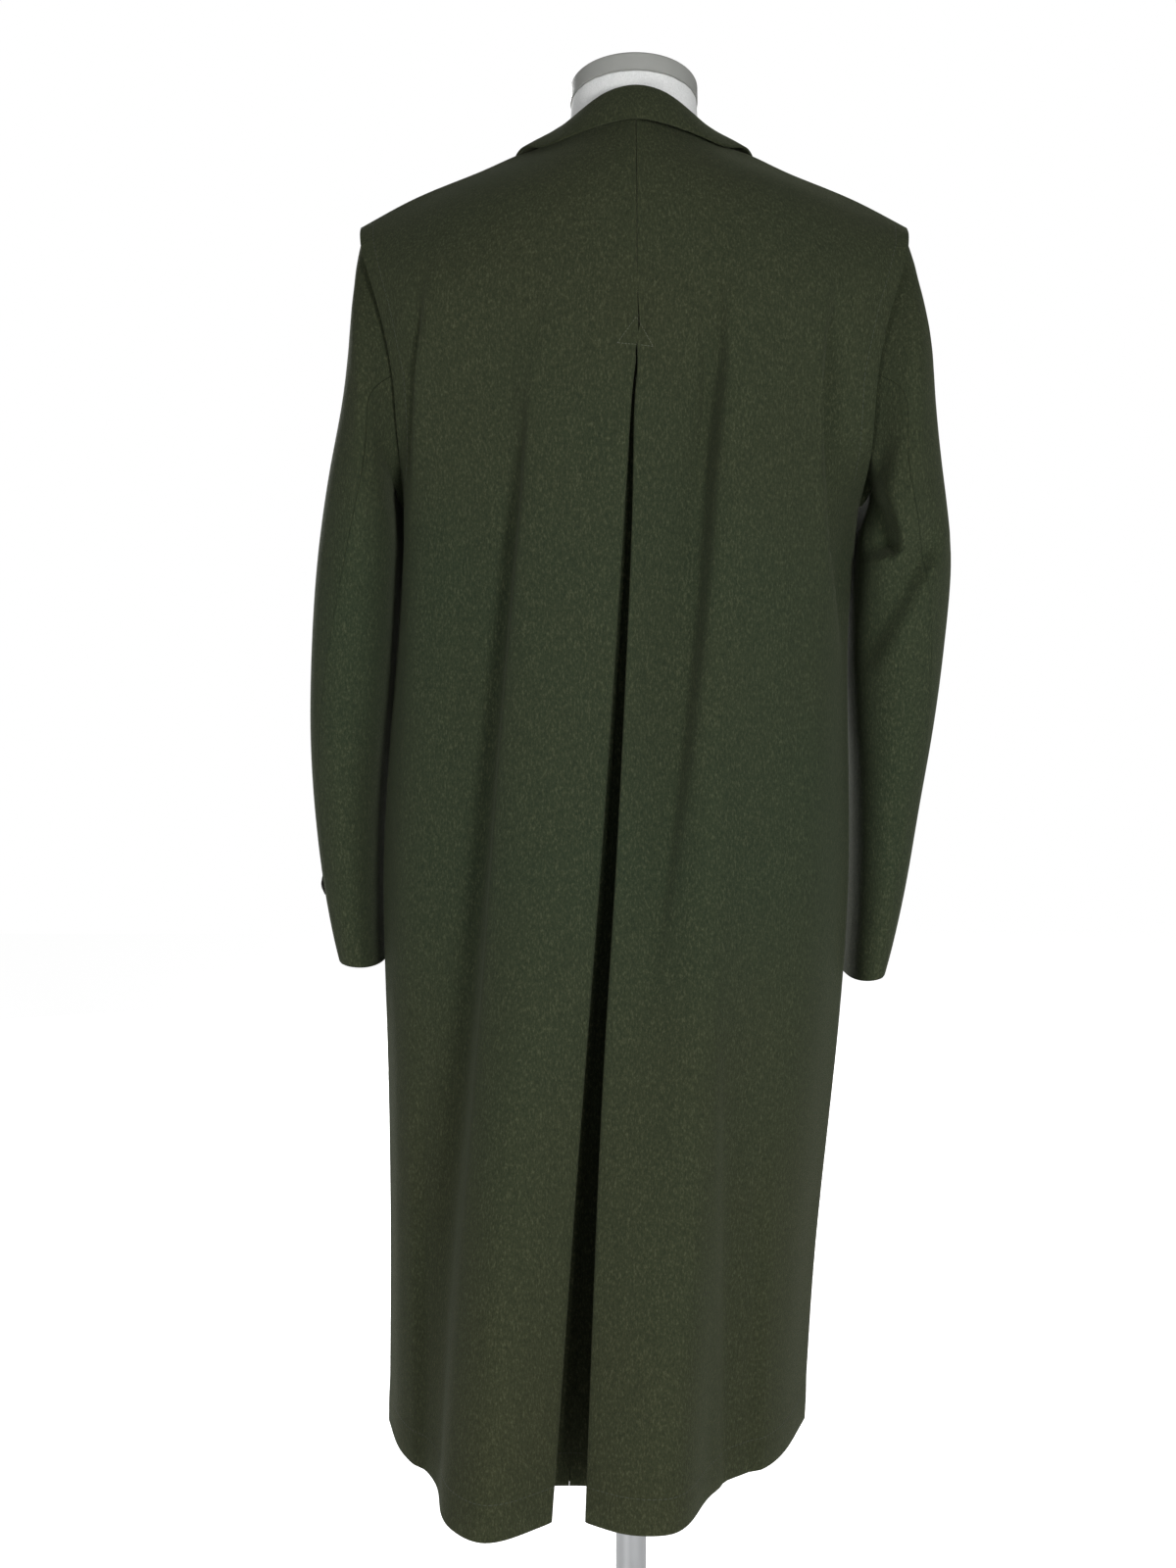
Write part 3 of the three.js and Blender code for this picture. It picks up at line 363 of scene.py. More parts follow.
FOLDS_SLEEVE_FRONT = [
    {"at": [(0.284, 1.070), (0.256, 1.040), (0.218, 1.026)],
     "left": -0.0034, "left_width": 0.016, "right": 0.0024, "right_width": 0.016, "edge": 0.012,
     "top": 0.30, "bottom": 0.30},
    {"at": [(0.270, 0.990), (0.244, 0.966), (0.214, 0.958)],
     "left": -0.0026, "left_width": 0.014, "right": 0.0020, "right_width": 0.014, "edge": 0.012,
     "top": 0.40, "bottom": 0.40},
    {"at": [(-0.284, 1.046), (-0.256, 1.022), (-0.228, 1.014)],
     "left": 0.0020, "left_width": 0.015, "right": -0.0028, "right_width": 0.014, "edge": 0.012,
     "top": 0.35, "bottom": 0.35},
    {"at": [(-0.280, 0.962), (-0.258, 0.946), (-0.234, 0.944)],
     "left": 0.0016, "left_width": 0.013, "right": -0.0020, "right_width": 0.013, "edge": 0.012,
     "top": 0.40, "bottom": 0.40},
]


def smoothstep(low, high, value):
    t = np.clip((value - low) / (high - low), 0.0, 1.0)
    return t * t * (3.0 - 2.0 * t)


# How far each fold moves points of x and z: the nearest place on its line gives the side and share
def fold_height(fold, x, z):
    line = np.array(fold["at"])
    steps = np.diff(line, axis=0)
    reach = np.concatenate([[0.0], np.cumsum(np.hypot(steps[:, 0], steps[:, 1]))])
    nearest = np.full(len(x), np.inf)
    side = np.zeros(len(x))
    share = np.zeros(len(x))
    for (ax, az), (dx, dz), start in zip(line[:-1], steps, reach[:-1]):
        length = math.hypot(dx, dz)
        t = np.clip(((x - ax) * dx + (z - az) * dz) / length ** 2, 0.0, 1.0)
        away = np.hypot(x - ax - t * dx, z - az - t * dz)
        closer = away < nearest
        nearest = np.where(closer, away, nearest)
        side = np.where(closer, np.sign(dx * (z - az) - dz * (x - ax)), side)
        share = np.where(closer, (start + t * length) / reach[-1], share)
    across = side * nearest
    left = fold["left"] * np.exp(-(nearest / fold["left_width"]) ** 2)
    right = fold["right"] * np.exp(-(nearest / fold["right_width"]) ** 2)
    turn = smoothstep(-fold["edge"] / 2, fold["edge"] / 2, across)
    top = smoothstep(0.0, fold["top"], share) if fold["top"] else 1.0
    bottom = smoothstep(0.0, fold["bottom"], 1.0 - share) if fold["bottom"] else 1.0
    return (left * (1.0 - turn) + right * turn) * top * bottom


# Moves both layers of a piece alike, so the wall keeps its thickness and the seams stay shut
def lay_folds(piece, back, front, outward, fade):
    count = len(piece.data.vertices)
    points = np.empty(count * 3)
    piece.data.vertices.foreach_get("co", points)
    points = points.reshape(count, 3)
    x, y, z = points.T
    for folds, facing in ((back, smoothstep(*fade, -y)), (front, smoothstep(*fade, y))):
        height = sum(fold_height(fold, x, z) for fold in folds)
        points += (height * facing)[:, None] * outward(points)
    piece.data.vertices.foreach_set("co", points.ravel())
    piece.data.update()


# The body is close to an oval across, and its folds move square to that oval
BODY_HALF_WIDTH = 0.22
BODY_HALF_DEPTH = 0.13


def body_outward(points):
    x, y = points.T[:2]
    normal = np.column_stack([x / BODY_HALF_WIDTH ** 2, y / BODY_HALF_DEPTH ** 2, np.zeros(len(x))])
    return normal / np.linalg.norm(normal, axis=1)[:, None]


def sleeve_outward(points):
    return np.column_stack([np.zeros(len(points)), np.sign(points[:, 1]), np.zeros(len(points))])


# Beside the tack the left panel's seam edge is drawn in, so the seam stays shut down to the tack
SEAM_DRAWN = {"height": 1.262, "reach": 0.030, "across": 0.030, "inward": 0.0030}


def draw_seam(piece):
    for vertex in piece.data.vertices:
        x, y, z = vertex.co
        share = math.exp(-((z - SEAM_DRAWN["height"]) / SEAM_DRAWN["reach"]) ** 2)
        share *= 1.0 - smoothstep(0.0, SEAM_DRAWN["across"], abs(x))
        if y < 0 and x < 0:
            vertex.co.x += SEAM_DRAWN["inward"] * float(share)


# Under the armhole the front half of each sleeve sags in toward the body
SAGS = [
    # side, height, reach, how far inward
    (-1, 1.105, 0.062, 0.009),
    (1, 1.105, 0.062, 0.009),
    (-1, 0.935, 0.055, 0.005),
]
SAG_INNER = 0.228
SAG_OUTER = 0.258
SAG_FULL_AT = 0.05


def sag_sleeve(piece):
    for vertex in piece.data.vertices:
        x, y, z = vertex.co
        share = smoothstep(0.0, SAG_FULL_AT, y) * (1.0 - smoothstep(SAG_INNER, SAG_OUTER, abs(x)))
        inward = sum(amount * math.exp(-((z - height) / reach) ** 2)
                     for side, height, reach, amount in SAGS if side * x > 0)
        vertex.co.x -= math.copysign(inward * float(share), x)


# The hem is turned up 30 mm inside, so the cloth stands a little proud below its stitching
HEM_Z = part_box("back_left")[0][2]
HEM_TURNED_UP = 0.030
HEM_PROUD = 0.0007
HEM_FADE = 0.006


def thicken_hem(piece):
    for vertex in piece.data.vertices:
        share = smoothstep(0.0, HEM_FADE, HEM_Z + HEM_TURNED_UP - vertex.co.z)
        away = Vector((vertex.co.x, vertex.co.y, 0)).normalized()
        vertex.co += away * HEM_PROUD * float(share)


BODY_PANELS = [
    # piece, node, cut width and length of the panel in metres, its flat area
    ("back_left_cloth", "back_left", (0.46, 1.17), 0.42),
    ("back_right_cloth", "back_right", (0.44, 1.17), 0.43),
    ("front_left_cloth", "front_left", (0.36, 1.14), 0.33),
    ("front_right_cloth", "front_right", (0.34, 1.14), 0.31),
]
SLEEVE_PANELS = [
    ("sleeve_top_left_cloth", "sleeve_top_left", (0.19, 0.68), 0.100),
    ("sleeve_under_left_cloth", "sleeve_under_left", (0.19, 0.56), 0.098),
    ("sleeve_top_right_cloth", "sleeve_top_right", (0.19, 0.68), 0.101),
    ("sleeve_under_right_cloth", "sleeve_under_right", (0.19, 0.56), 0.100),
]
BODY_FADE = (0.0, 0.04)
SLEEVE_FADE = (0.0, 0.05)
cloth = {}


def sewn_panel(name, node):
    piece = fine_copy(node, name)
    crease_rims(piece)
    apply(piece, "SUBSURF", levels=2, render_levels=2)
    cloth[node] = piece
    return piece


def finish_panel(piece, node):
    apply(piece, "BEVEL", width=EDGE_ROUND, segments=2, limit_method="ANGLE", angle_limit=EDGE_ANGLE)
    bpy.ops.object.shade_smooth()
    piece.data.materials.append(loden_cloth)
    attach(piece, "root")
    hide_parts(node)


for name, node, cut, area in BODY_PANELS:
    piece = sewn_panel(name, node)
    lay_folds(piece, FOLDS_BACK, FOLDS_FRONT, body_outward, BODY_FADE)
    draw_seam(piece)
    thicken_hem(piece)
    finish_panel(piece, node)
for name, node, cut, area in SLEEVE_PANELS:
    piece = sewn_panel(name, node)
    lay_folds(piece, FOLDS_SLEEVE_BACK, FOLDS_SLEEVE_FRONT, sleeve_outward, SLEEVE_FADE)
    sag_sleeve(piece)
    finish_panel(piece, node)


# The pleat's floor is seamed at its middle, and the seam's allowances are pressed open behind it.
# They lie half a millimetre behind the floor, from the hem to the tack.
ALLOWANCE_HALF = 0.009
ALLOWANCE_THICK = 0.0008
ALLOWANCE_LIFT = 0.0005
ALLOWANCE_ABOVE_HEM = 0.0008
ALLOWANCE_TOP = 1.225
ALLOWANCE_STEP = 0.008
ALLOWANCE_COLUMNS = 7
RAY_OFFSETS = (-0.006, -0.003, 0.003, 0.006)
PLEAT_MIDDLE = [(0.300, -0.0555), (0.467, -0.0465), (0.655, -0.0355), (0.820, -0.0237),
                (1.000, -0.0130), (1.128, -0.0065), (1.235, -0.0020)]


def surface_of(*nodes):
    points = []
    faces = []
    for node in nodes:
        mesh = cloth[node].data
        faces += [[i + len(points) for i in p.vertices] for p in mesh.polygons]
        points += [v.co.copy() for v in mesh.vertices]
    return BVHTree.FromPolygons(points, faces)


backs = surface_of("back_left", "back_right")
fronts = surface_of("front_left", "front_right")
middle_heights, middle_places = zip(*PLEAT_MIDDLE)
strip_points = []
for z in np.arange(HEM_Z + ALLOWANCE_ABOVE_HEM, ALLOWANCE_TOP, ALLOWANCE_STEP):
    middle = np.interp(z, middle_heights, middle_places)
    across = np.linspace(-ALLOWANCE_HALF, ALLOWANCE_HALF, ALLOWANCE_COLUMNS)
    floor_hits = []
    for side in RAY_OFFSETS:
        place = backs.ray_cast(Vector((middle + side, 0, z)), Vector((0, -1, 0)))[0]
        floor_hits.append(place.y)
    floor_y = np.interp(across, RAY_OFFSETS, floor_hits)
    strip_points += [(middle + a, y + ALLOWANCE_LIFT, z) for a, y in zip(across, floor_y)]
strip_faces = []
for row in range(0, len(strip_points) - ALLOWANCE_COLUMNS, ALLOWANCE_COLUMNS):
    for first in range(row, row + ALLOWANCE_COLUMNS - 1):
        above = first + ALLOWANCE_COLUMNS
        strip_faces.append((first, first + 1, above + 1, above))
strip_mesh = bpy.data.meshes.new("pleat_seam_allowance")
strip_mesh.from_pydata(strip_points, [], strip_faces)
allowance = bpy.data.objects.new("pleat_seam_allowance", strip_mesh)
bpy.context.collection.objects.link(allowance)
apply(allowance, "SMOOTH", iterations=4, factor=0.5)
apply(allowance, "SOLIDIFY", thickness=ALLOWANCE_THICK, offset=-1.0)
bpy.ops.object.shade_smooth_by_angle(angle=math.radians(40))
strip_mesh.materials.append(loden_cloth)
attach(allowance, "root")


# Collar: a stand sewn to the neckline, rolled over and laid on the shoulders.
# Its cut edge is turned in, so it is rounder than the panels' edges.
COLLAR_EDGE_ROUND = 0.0009
collar = sewn_panel("collar_cloth", "collar")
apply(collar, "BEVEL", width=COLLAR_EDGE_ROUND, segments=3, limit_method="ANGLE", angle_limit=EDGE_ANGLE)
bpy.ops.object.shade_smooth()
collar.data.materials.append(loden_cloth)
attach(collar, "root")
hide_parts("collar")


# Stitching: thread of the cloth's colour, sewn through the flanges, the hem, the front edge and
# the tack above the pleat. One stitch is modelled, and its copies lie on the cloth in a row.
THREAD_RADIUS = 0.00034
THREAD_FLATTENED = 0.8
STITCH_LENGTH = 0.0034
STITCH_PITCH = 0.0045
PLY_SCALE = 2600.0


def thread_material(name, colour):
    material = bpy.data.materials.new(name)
    material.use_nodes = True
    nodes = material.node_tree.nodes
    links = material.node_tree.links
    shader = nodes["Principled BSDF"]
    shader.inputs["Roughness"].default_value = 0.7
    shader.inputs["Sheen Weight"].default_value = 0.1
    place = nodes.new("ShaderNodeTexCoord")
    twist = nodes.new("ShaderNodeTexNoise")
    twist.inputs["Scale"].default_value = PLY_SCALE
    links.new(place.outputs["Object"], twist.inputs["Vector"])
    ply = nodes.new("ShaderNodeValToRGB")
    ply.color_ramp.elements[0].position = 0.35
    ply.color_ramp.elements[0].color = (*(c * 0.7 for c in colour), 1)
    ply.color_ramp.elements[1].position = 0.65
    ply.color_ramp.elements[1].color = (*(c * 1.2 for c in colour), 1)
    links.new(twist.outputs["Fac"], ply.inputs["Fac"])
    links.new(ply.outputs["Color"], shader.inputs["Base Color"])
    return material


bpy.ops.object.select_all(action="DESELECT")
bpy.ops.mesh.primitive_uv_sphere_add(segments=8, ring_count=6, radius=THREAD_RADIUS)
stitch = bpy.context.object
bpy.ops.object.mode_set(mode="EDIT")
bpy.ops.mesh.select_all(action="SELECT")
bpy.ops.transform.rotate(value=math.pi / 2, orient_axis="Y", center_override=(0, 0, 0))
bpy.ops.transform.resize(value=(STITCH_LENGTH / 2 / THREAD_RADIUS, 1.0, THREAD_FLATTENED))
bpy.ops.object.mode_set(mode="OBJECT")
STITCH_POINTS = np.array([v.co[:] for v in stitch.data.vertices])
STITCH_FACES = [list(p.vertices) for p in stitch.data.polygons]
bpy.data.objects.remove(stitch)


# Rows of stitches over runs of (place, normal): across turns each stitch to lie across its run
def sew(name, runs, material, pitch=STITCH_PITCH, scale=1.0, across=False):
    points = []
    faces = []
    for run in runs:
        places = np.array([place for place, normal in run])
        normals = np.array([normal for place, normal in run])
        reach = np.concatenate([[0.0], np.cumsum(np.linalg.norm(np.diff(places, axis=0), axis=1))])
        for at in np.arange(pitch / 2, reach[-1], pitch):
            centre = np.array([np.interp(at, reach, v) for v in places.T])
            up = np.array([np.interp(at, reach, v) for v in normals.T])
            ahead = np.array([np.interp(at + pitch / 2, reach, v) for v in places.T])
            behind = np.array([np.interp(at - pitch / 2, reach, v) for v in places.T])
            up /= np.linalg.norm(up)
            along = ahead - behind
            along -= up * along.dot(up)
            along /= np.linalg.norm(along)
            side = np.cross(up, along)
            turn = np.column_stack([side, -along, up] if across else [along, side, up])
            faces += [[i + len(points) for i in face] for face in STITCH_FACES]
            points += list((STITCH_POINTS * scale) @ turn.T + centre)
    mesh = bpy.data.meshes.new(name)
    mesh.from_pydata([tuple(p) for p in points], [], faces)
    piece = bpy.data.objects.new(name, mesh)
    bpy.context.collection.objects.link(piece)
    select_only(piece)
    bpy.ops.object.shade_smooth()
    mesh.materials.append(material)
    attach(piece, "root")


# Finds the places on the cloth under a row of starts, as runs that end where the cloth jumps away
RUN_BREAK = 0.012
RUN_SHORTEST = 3


def laid_run(tree, starts, direction):
    runs = [[]]
    for start in starts:
        place, normal = tree.ray_cast(Vector(start), Vector(direction))[:2]
        if place is None:
            continue
        if runs[-1] and (place - runs[-1][-1][0]).length > RUN_BREAK:
            runs.append([])
        runs[-1].append((place, normal))
    return [run for run in runs if len(run) >= RUN_SHORTEST]


# The flanges' stitching runs 12.5 mm inside the armhole edge, from the shoulder tip to the armpit
ARMHOLE_Z = 1.2495
ARMHOLE_HALF_HEIGHT = 0.1215
ARMHOLE_DEPTH = {"back": -0.062, "front": 0.056}
ARMHOLE_WIDTH = [(1.128, 0.200), (1.180, 0.203), (1.240, 0.204), (1.290, 0.214), (1.320, 0.224),
                 (1.347, 0.233), (1.371, 0.237)]
FLANGE_STITCH_IN = 0.0125
FLANGE_STITCH_TURNS = np.linspace(0.10, 2.45, 60)
TURN_STEP = 0.01
ABOVE_CLOTH = 0.012
# A point in the chest tells which side of the armhole edge is inward
CHEST_BESIDE = 0.12
CHEST_DEEPER = 1.6
tone_thread = thread_material("loden_thread", (0.030, 0.036, 0.019))


def armhole_point(side, depth, turn):
    z = ARMHOLE_Z + ARMHOLE_HALF_HEIGHT * math.cos(turn)
    heights, widths = zip(*ARMHOLE_WIDTH)
    return Vector((side * np.interp(z, heights, widths), depth * math.sin(turn), z))


def flange_run(tree, side, depth):
    outward = Vector((side, depth * 12, 0.6))
    centre = Vector((side * CHEST_BESIDE, CHEST_DEEPER * depth, ARMHOLE_Z))
    run = []
    for turn in FLANGE_STITCH_TURNS:
        edge = armhole_point(side, depth, turn)
        along = armhole_point(side, depth, turn + TURN_STEP) - armhole_point(side, depth, turn - TURN_STEP)
        inside = edge + (centre - edge).normalized() * FLANGE_STITCH_IN
        normal = tree.find_nearest(inside)[1]
        if normal.dot(outward) < 0:
            normal = -normal
        inward = along.cross(normal).normalized()
        if inward.dot(centre - edge) < 0:
            inward = -inward
        start = edge + inward * FLANGE_STITCH_IN + normal * ABOVE_CLOTH
        place, normal = tree.ray_cast(start, -normal)[:2]
        if place is not None:
            run.append((place, normal))
    return run


for node, side, part in (("back_left", -1, "back"), ("back_right", 1, "back"),
                         ("front_left", -1, "front"), ("front_right", 1, "front")):
    sew(f"flange_stitching_{node}", [flange_run(surface_of(node), side, ARMHOLE_DEPTH[part])], tone_thread)

# The hem's stitching shows faintly 29 mm above the hem, the front edge's 8 mm in from the edge
HEM_STITCH_Z = HEM_Z + HEM_TURNED_UP - 0.001
FRONT_STITCH_IN = 0.008
FRONT_EDGE = [(0.300, -0.004), (0.467, 0.000), (0.655, 0.006), (0.820, 0.012), (1.000, 0.018),
              (1.128, 0.024), (1.250, 0.027), (1.312, 0.028), (1.354, 0.028)]
FRONT_STITCH_TOP = 1.352
HEM_STITCH_STEP = 0.0015
EDGE_STITCH_STEP = 0.004
FAR = 0.6
back_starts = [(x, -FAR, HEM_STITCH_Z) for x in np.arange(-0.216, 0.152, HEM_STITCH_STEP)]
front_starts = [(x, FAR, HEM_STITCH_Z) for x in np.arange(-0.214, 0.154, HEM_STITCH_STEP)]
sew("hem_stitching_back", laid_run(backs, back_starts, (0, 1, 0)), tone_thread)
sew("hem_stitching_front", laid_run(fronts, front_starts, (0, -1, 0)), tone_thread)
edge_heights, edge_places = zip(*FRONT_EDGE)
edge_starts = [(np.interp(z, edge_heights, edge_places) - FRONT_STITCH_IN, FAR, z)
               for z in np.arange(HEM_Z + EDGE_STITCH_STEP, FRONT_STITCH_TOP, EDGE_STITCH_STEP)]
sew("front_edge_stitching", laid_run(fronts, edge_starts, (0, -1, 0)), tone_thread)

# The tack is a triangle of short paler stitches that holds the pleat's top
TACK = [(-0.0005, 1.2790), (-0.0158, 1.2578), (0.0132, 1.2553), (-0.0005, 1.2790)]
TACK_PITCH = 0.0027
TACK_SCALE = 0.62
tack_thread = thread_material("tack_thread", (0.085, 0.090, 0.060))
tack_runs = []
for (ax, az), (bx, bz) in zip(TACK[:-1], TACK[1:]):
    starts = [(ax + (bx - ax) * t, -FAR, az + (bz - az) * t) for t in np.linspace(0.0, 1.0, 12)]
    tack_runs += laid_run(backs, starts, (0, 1, 0))
sew("pleat_tack", tack_runs, tack_thread, pitch=TACK_PITCH, scale=TACK_SCALE)


# Front buttons: dark horn, turned with a raised rim and a sunk middle, sewn on through four holes.
# Each stands about 0.5 mm off the cloth, and its buttonhole runs away from the front edge.
BUTTON_RADIUS = 0.013
BUTTON_HEIGHT = 0.0042
RIM_WIDTH = 0.0034
BOWL_DEPTH = 0.0011
BOWL_SLOPE = RIM_WIDTH * 0.45
BOWL_FLOOR = RIM_WIDTH * 0.6
BOWL_DIP = BOWL_DEPTH * 0.2
BUTTON_EDGE_ROUND = 0.0006
BUTTON_FOOT = 0.8
HOLE_RADIUS = 0.0011
HOLE_SPREAD = 0.0026
horn = bpy.data.materials.new("dark_horn")
horn.use_nodes = True
horn_shader = horn.node_tree.nodes["Principled BSDF"]
horn_shader.inputs["Roughness"].default_value = 0.32
horn_shader.inputs["Coat Weight"].default_value = 0.25
horn_shader.inputs["Coat Roughness"].default_value = 0.2
horn_place = horn.node_tree.nodes.new("ShaderNodeTexCoord")
horn_stretch = horn.node_tree.nodes.new("ShaderNodeMapping")
horn_stretch.inputs["Scale"].default_value = (1.0, 1.0, 4.0)
horn_streaks = horn.node_tree.nodes.new("ShaderNodeTexNoise")
horn_streaks.inputs["Scale"].default_value = 140.0
horn_streaks.inputs["Detail"].default_value = 4.0
horn_streaks.inputs["Distortion"].default_value = 1.2
horn_colour = horn.node_tree.nodes.new("ShaderNodeValToRGB")
horn_colour.color_ramp.elements[0].position = 0.38
horn_colour.color_ramp.elements[0].color = (0.007, 0.007, 0.005, 1)
horn_colour.color_ramp.elements[1].position = 0.72
horn_colour.color_ramp.elements[1].color = (0.034, 0.028, 0.016, 1)
horn.node_tree.links.new(horn_place.outputs["Object"], horn_stretch.inputs["Vector"])
horn.node_tree.links.new(horn_stretch.outputs["Vector"], horn_streaks.inputs["Vector"])
horn.node_tree.links.new(horn_streaks.outputs["Fac"], horn_colour.inputs["Fac"])
horn.node_tree.links.new(horn_colour.outputs["Color"], horn_shader.inputs["Base Color"])


def select_faces(piece, keep):
    bpy.ops.mesh.select_all(action="DESELECT")
    form = bmesh.from_edit_mesh(piece.data)
    for face in form.faces:
        face.select_set(keep(face))
    form.select_flush_mode()
    bmesh.update_edit_mesh(piece.data)


def turned_button():
    bpy.ops.object.select_all(action="DESELECT")
    bpy.ops.mesh.primitive_cylinder_add(vertices=48, radius=BUTTON_RADIUS, depth=BUTTON_HEIGHT,
                                        location=(0, 0, BUTTON_HEIGHT / 2))
    piece = bpy.context.object
    bpy.ops.object.transform_apply(location=True)
    bpy.ops.object.mode_set(mode="EDIT")
    select_faces(piece, lambda face: face.normal.z < -0.9)
    bpy.ops.transform.resize(value=(BUTTON_FOOT, BUTTON_FOOT, 1.0))
    select_faces(piece, lambda face: face.normal.z > 0.9)
    bpy.ops.mesh.inset(thickness=RIM_WIDTH)
    bpy.ops.mesh.inset(thickness=BOWL_SLOPE)
    bpy.ops.transform.translate(value=(0, 0, -BOWL_DEPTH))
    bpy.ops.mesh.inset(thickness=BOWL_FLOOR)
    bpy.ops.transform.translate(value=(0, 0, -BOWL_DIP))
    bpy.ops.object.mode_set(mode="OBJECT")
    apply(piece, "BEVEL", width=BUTTON_EDGE_ROUND, segments=3, limit_method="ANGLE",
          angle_limit=math.radians(20))
    for dx in (-HOLE_SPREAD, HOLE_SPREAD):
        for dy in (-HOLE_SPREAD, HOLE_SPREAD):
            bpy.ops.mesh.primitive_cylinder_add(vertices=16, radius=HOLE_RADIUS, depth=0.02,
                                                location=(dx, dy, 0))
            drill = bpy.context.object
            apply(piece, "BOOLEAN", object=drill, operation="DIFFERENCE")
            bpy.data.objects.remove(drill)
    bpy.ops.object.select_all(action="DESELECT")
    return piece


# Where a button's solid sits: its centre, its outward axis and a level line across it
def seat_of(node):
    points = np.array([v.co[:] for v in bpy.data.objects[node].data.vertices])
    centre = (points.min(axis=0) + points.max(axis=0)) / 2
    axes = np.linalg.eigh(np.cov((points - points.mean(axis=0)).T))[1]
    out = Vector(axes[:, 0])
    if out.dot(Vector((centre[0], centre[1], 0))) < 0:
        out = -out
    level = Vector((0, 0, 1)).cross(out).normalized()
    return Vector(centre), out, level


def set_button(model, name, node, scale, dome=0.0):
    centre, out, level = seat_of(node)
    piece = bpy.data.objects.new(name, model.data.copy())
    bpy.context.collection.objects.link(piece)
    for vertex in piece.data.vertices:
        vertex.co.z *= 1.0 - dome * (vertex.co.xy.length / BUTTON_RADIUS) ** 2
    turn = Matrix((level, out.cross(level), out)).transposed().to_4x4()
    foot = centre - out * BUTTON_HEIGHT / 2
    piece.data.transform(Matrix.Translation(foot) @ turn @ Matrix.Diagonal((scale, scale, 1.0, 1.0)))
    piece.data.materials.append(horn)
    select_only(piece)
    bpy.ops.object.shade_smooth_by_angle(angle=math.radians(35))
    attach(piece, "root")
    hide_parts(node)
    return foot, out, level


button_model = turned_button()
button_thread = thread_material("button_thread", (0.020, 0.022, 0.014))
BUTTONHOLE = {"back": 0.004, "ahead": 0.025, "width": 0.0032}
BUTTONHOLE_RAY_START = 0.02
BUTTON_STITCH_PITCH = 0.0011
BUTTON_THREAD_SCALE = 1.5
BUTTONHOLE_SCALE = 0.72
thread_runs = []
hole_runs = []
for i in range(1, 6):
    foot, out, level = set_button(button_model, f"horn_button_{i}", f"button_{i}", 1.0)
    up = out.cross(level)
    bowl = foot + out * (BUTTON_HEIGHT - BOWL_DEPTH)
    for offset in (-HOLE_SPREAD, HOLE_SPREAD):
        between = bowl + level * offset
        thread_runs.append([(between - up * HOLE_SPREAD, out), (between + up * HOLE_SPREAD, out)])
    outline = []
    for turn in np.linspace(0, 2 * math.pi, 60):
        reach = BUTTONHOLE["ahead"] if math.cos(turn) > 0 else BUTTONHOLE["back"]
        shift = level * reach * math.cos(turn) + up * BUTTONHOLE["width"] * math.sin(turn)
        place, normal = fronts.ray_cast(foot + shift + out * BUTTONHOLE_RAY_START, -out)[:2]
        if place is not None:
            outline.append((place, normal))
    hole_runs.append(outline)
sew("button_threads", thread_runs, button_thread, pitch=BUTTON_STITCH_PITCH, scale=BUTTON_THREAD_SCALE)
sew("buttonholes", hole_runs, button_thread, pitch=BUTTON_STITCH_PITCH, scale=BUTTONHOLE_SCALE, across=True)


# Cuff buttons: the same button in a smaller size and domed, one beside each hindarm seam.
CUFF_BUTTON_SCALE = 9.0 / 13.0
CUFF_BUTTON_DOME = 0.55
for side in ("left", "right"):
    name = f"horn_cuff_button_{side}"
    set_button(button_model, name, f"cuff_button_{side}", CUFF_BUTTON_SCALE, CUFF_BUTTON_DOME)
bpy.data.objects.remove(button_model)


# Dress form: a torso of papier-mache under a stretched cover of fine white cotton jersey.
# It is wider than the neck opening, so the coat rests on its shoulders.
jersey = bpy.data.materials.new("white_jersey")
jersey.use_nodes = True
jersey_nodes = jersey.node_tree.nodes
jersey_links = jersey.node_tree.links
jersey_shader = jersey_nodes["Principled BSDF"]
jersey_shader.inputs["Roughness"].default_value = 0.9
jersey_shader.inputs["Sheen Weight"].default_value = 0.15
jersey_place = jersey_nodes.new("ShaderNodeTexCoord")
ribs = jersey_nodes.new("ShaderNodeTexWave")
ribs.bands_direction = "X"
ribs.inputs["Scale"].default_value = 260.0
ribs.inputs["Distortion"].default_value = 1.5
ribs.inputs["Detail Scale"].default_value = 3.0
loops = jersey_nodes.new("ShaderNodeTexNoise")
loops.inputs["Scale"].default_value = 900.0
jersey_colour = jersey_nodes.new("ShaderNodeValToRGB")
jersey_colour.color_ramp.elements[0].position = 0.30
jersey_colour.color_ramp.elements[0].color = (0.72, 0.73, 0.72, 1)
jersey_colour.color_ramp.elements[1].position = 0.65
jersey_colour.color_ramp.elements[1].color = (0.84, 0.85, 0.84, 1)
knit = jersey_nodes.new("ShaderNodeBump")
knit.inputs["Strength"].default_value = 0.4
knit.inputs["Distance"].default_value = 0.0004
jersey_links.new(jersey_place.outputs["Object"], ribs.inputs["Vector"])
jersey_links.new(jersey_place.outputs["Object"], loops.inputs["Vector"])
jersey_links.new(loops.outputs["Fac"], jersey_colour.inputs["Fac"])
jersey_links.new(jersey_colour.outputs["Color"], jersey_shader.inputs["Base Color"])
jersey_links.new(ribs.outputs["Fac"], knit.inputs["Height"])
jersey_links.new(knit.outputs["Normal"], jersey_shader.inputs["Normal"])
TORSO_EDGE_ROUND = 0.004
TORSO_EDGE_ANGLE = math.radians(50)
torso = fine_copy("form_torso", "torso_cover")
apply(torso, "BEVEL", width=TORSO_EDGE_ROUND, segments=3, limit_method="ANGLE", angle_limit=TORSO_EDGE_ANGLE)
bpy.ops.object.shade_smooth_by_angle(angle=TORSO_EDGE_ANGLE)
torso.data.materials.append(jersey)
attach(torso, "root")
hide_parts("form_torso")


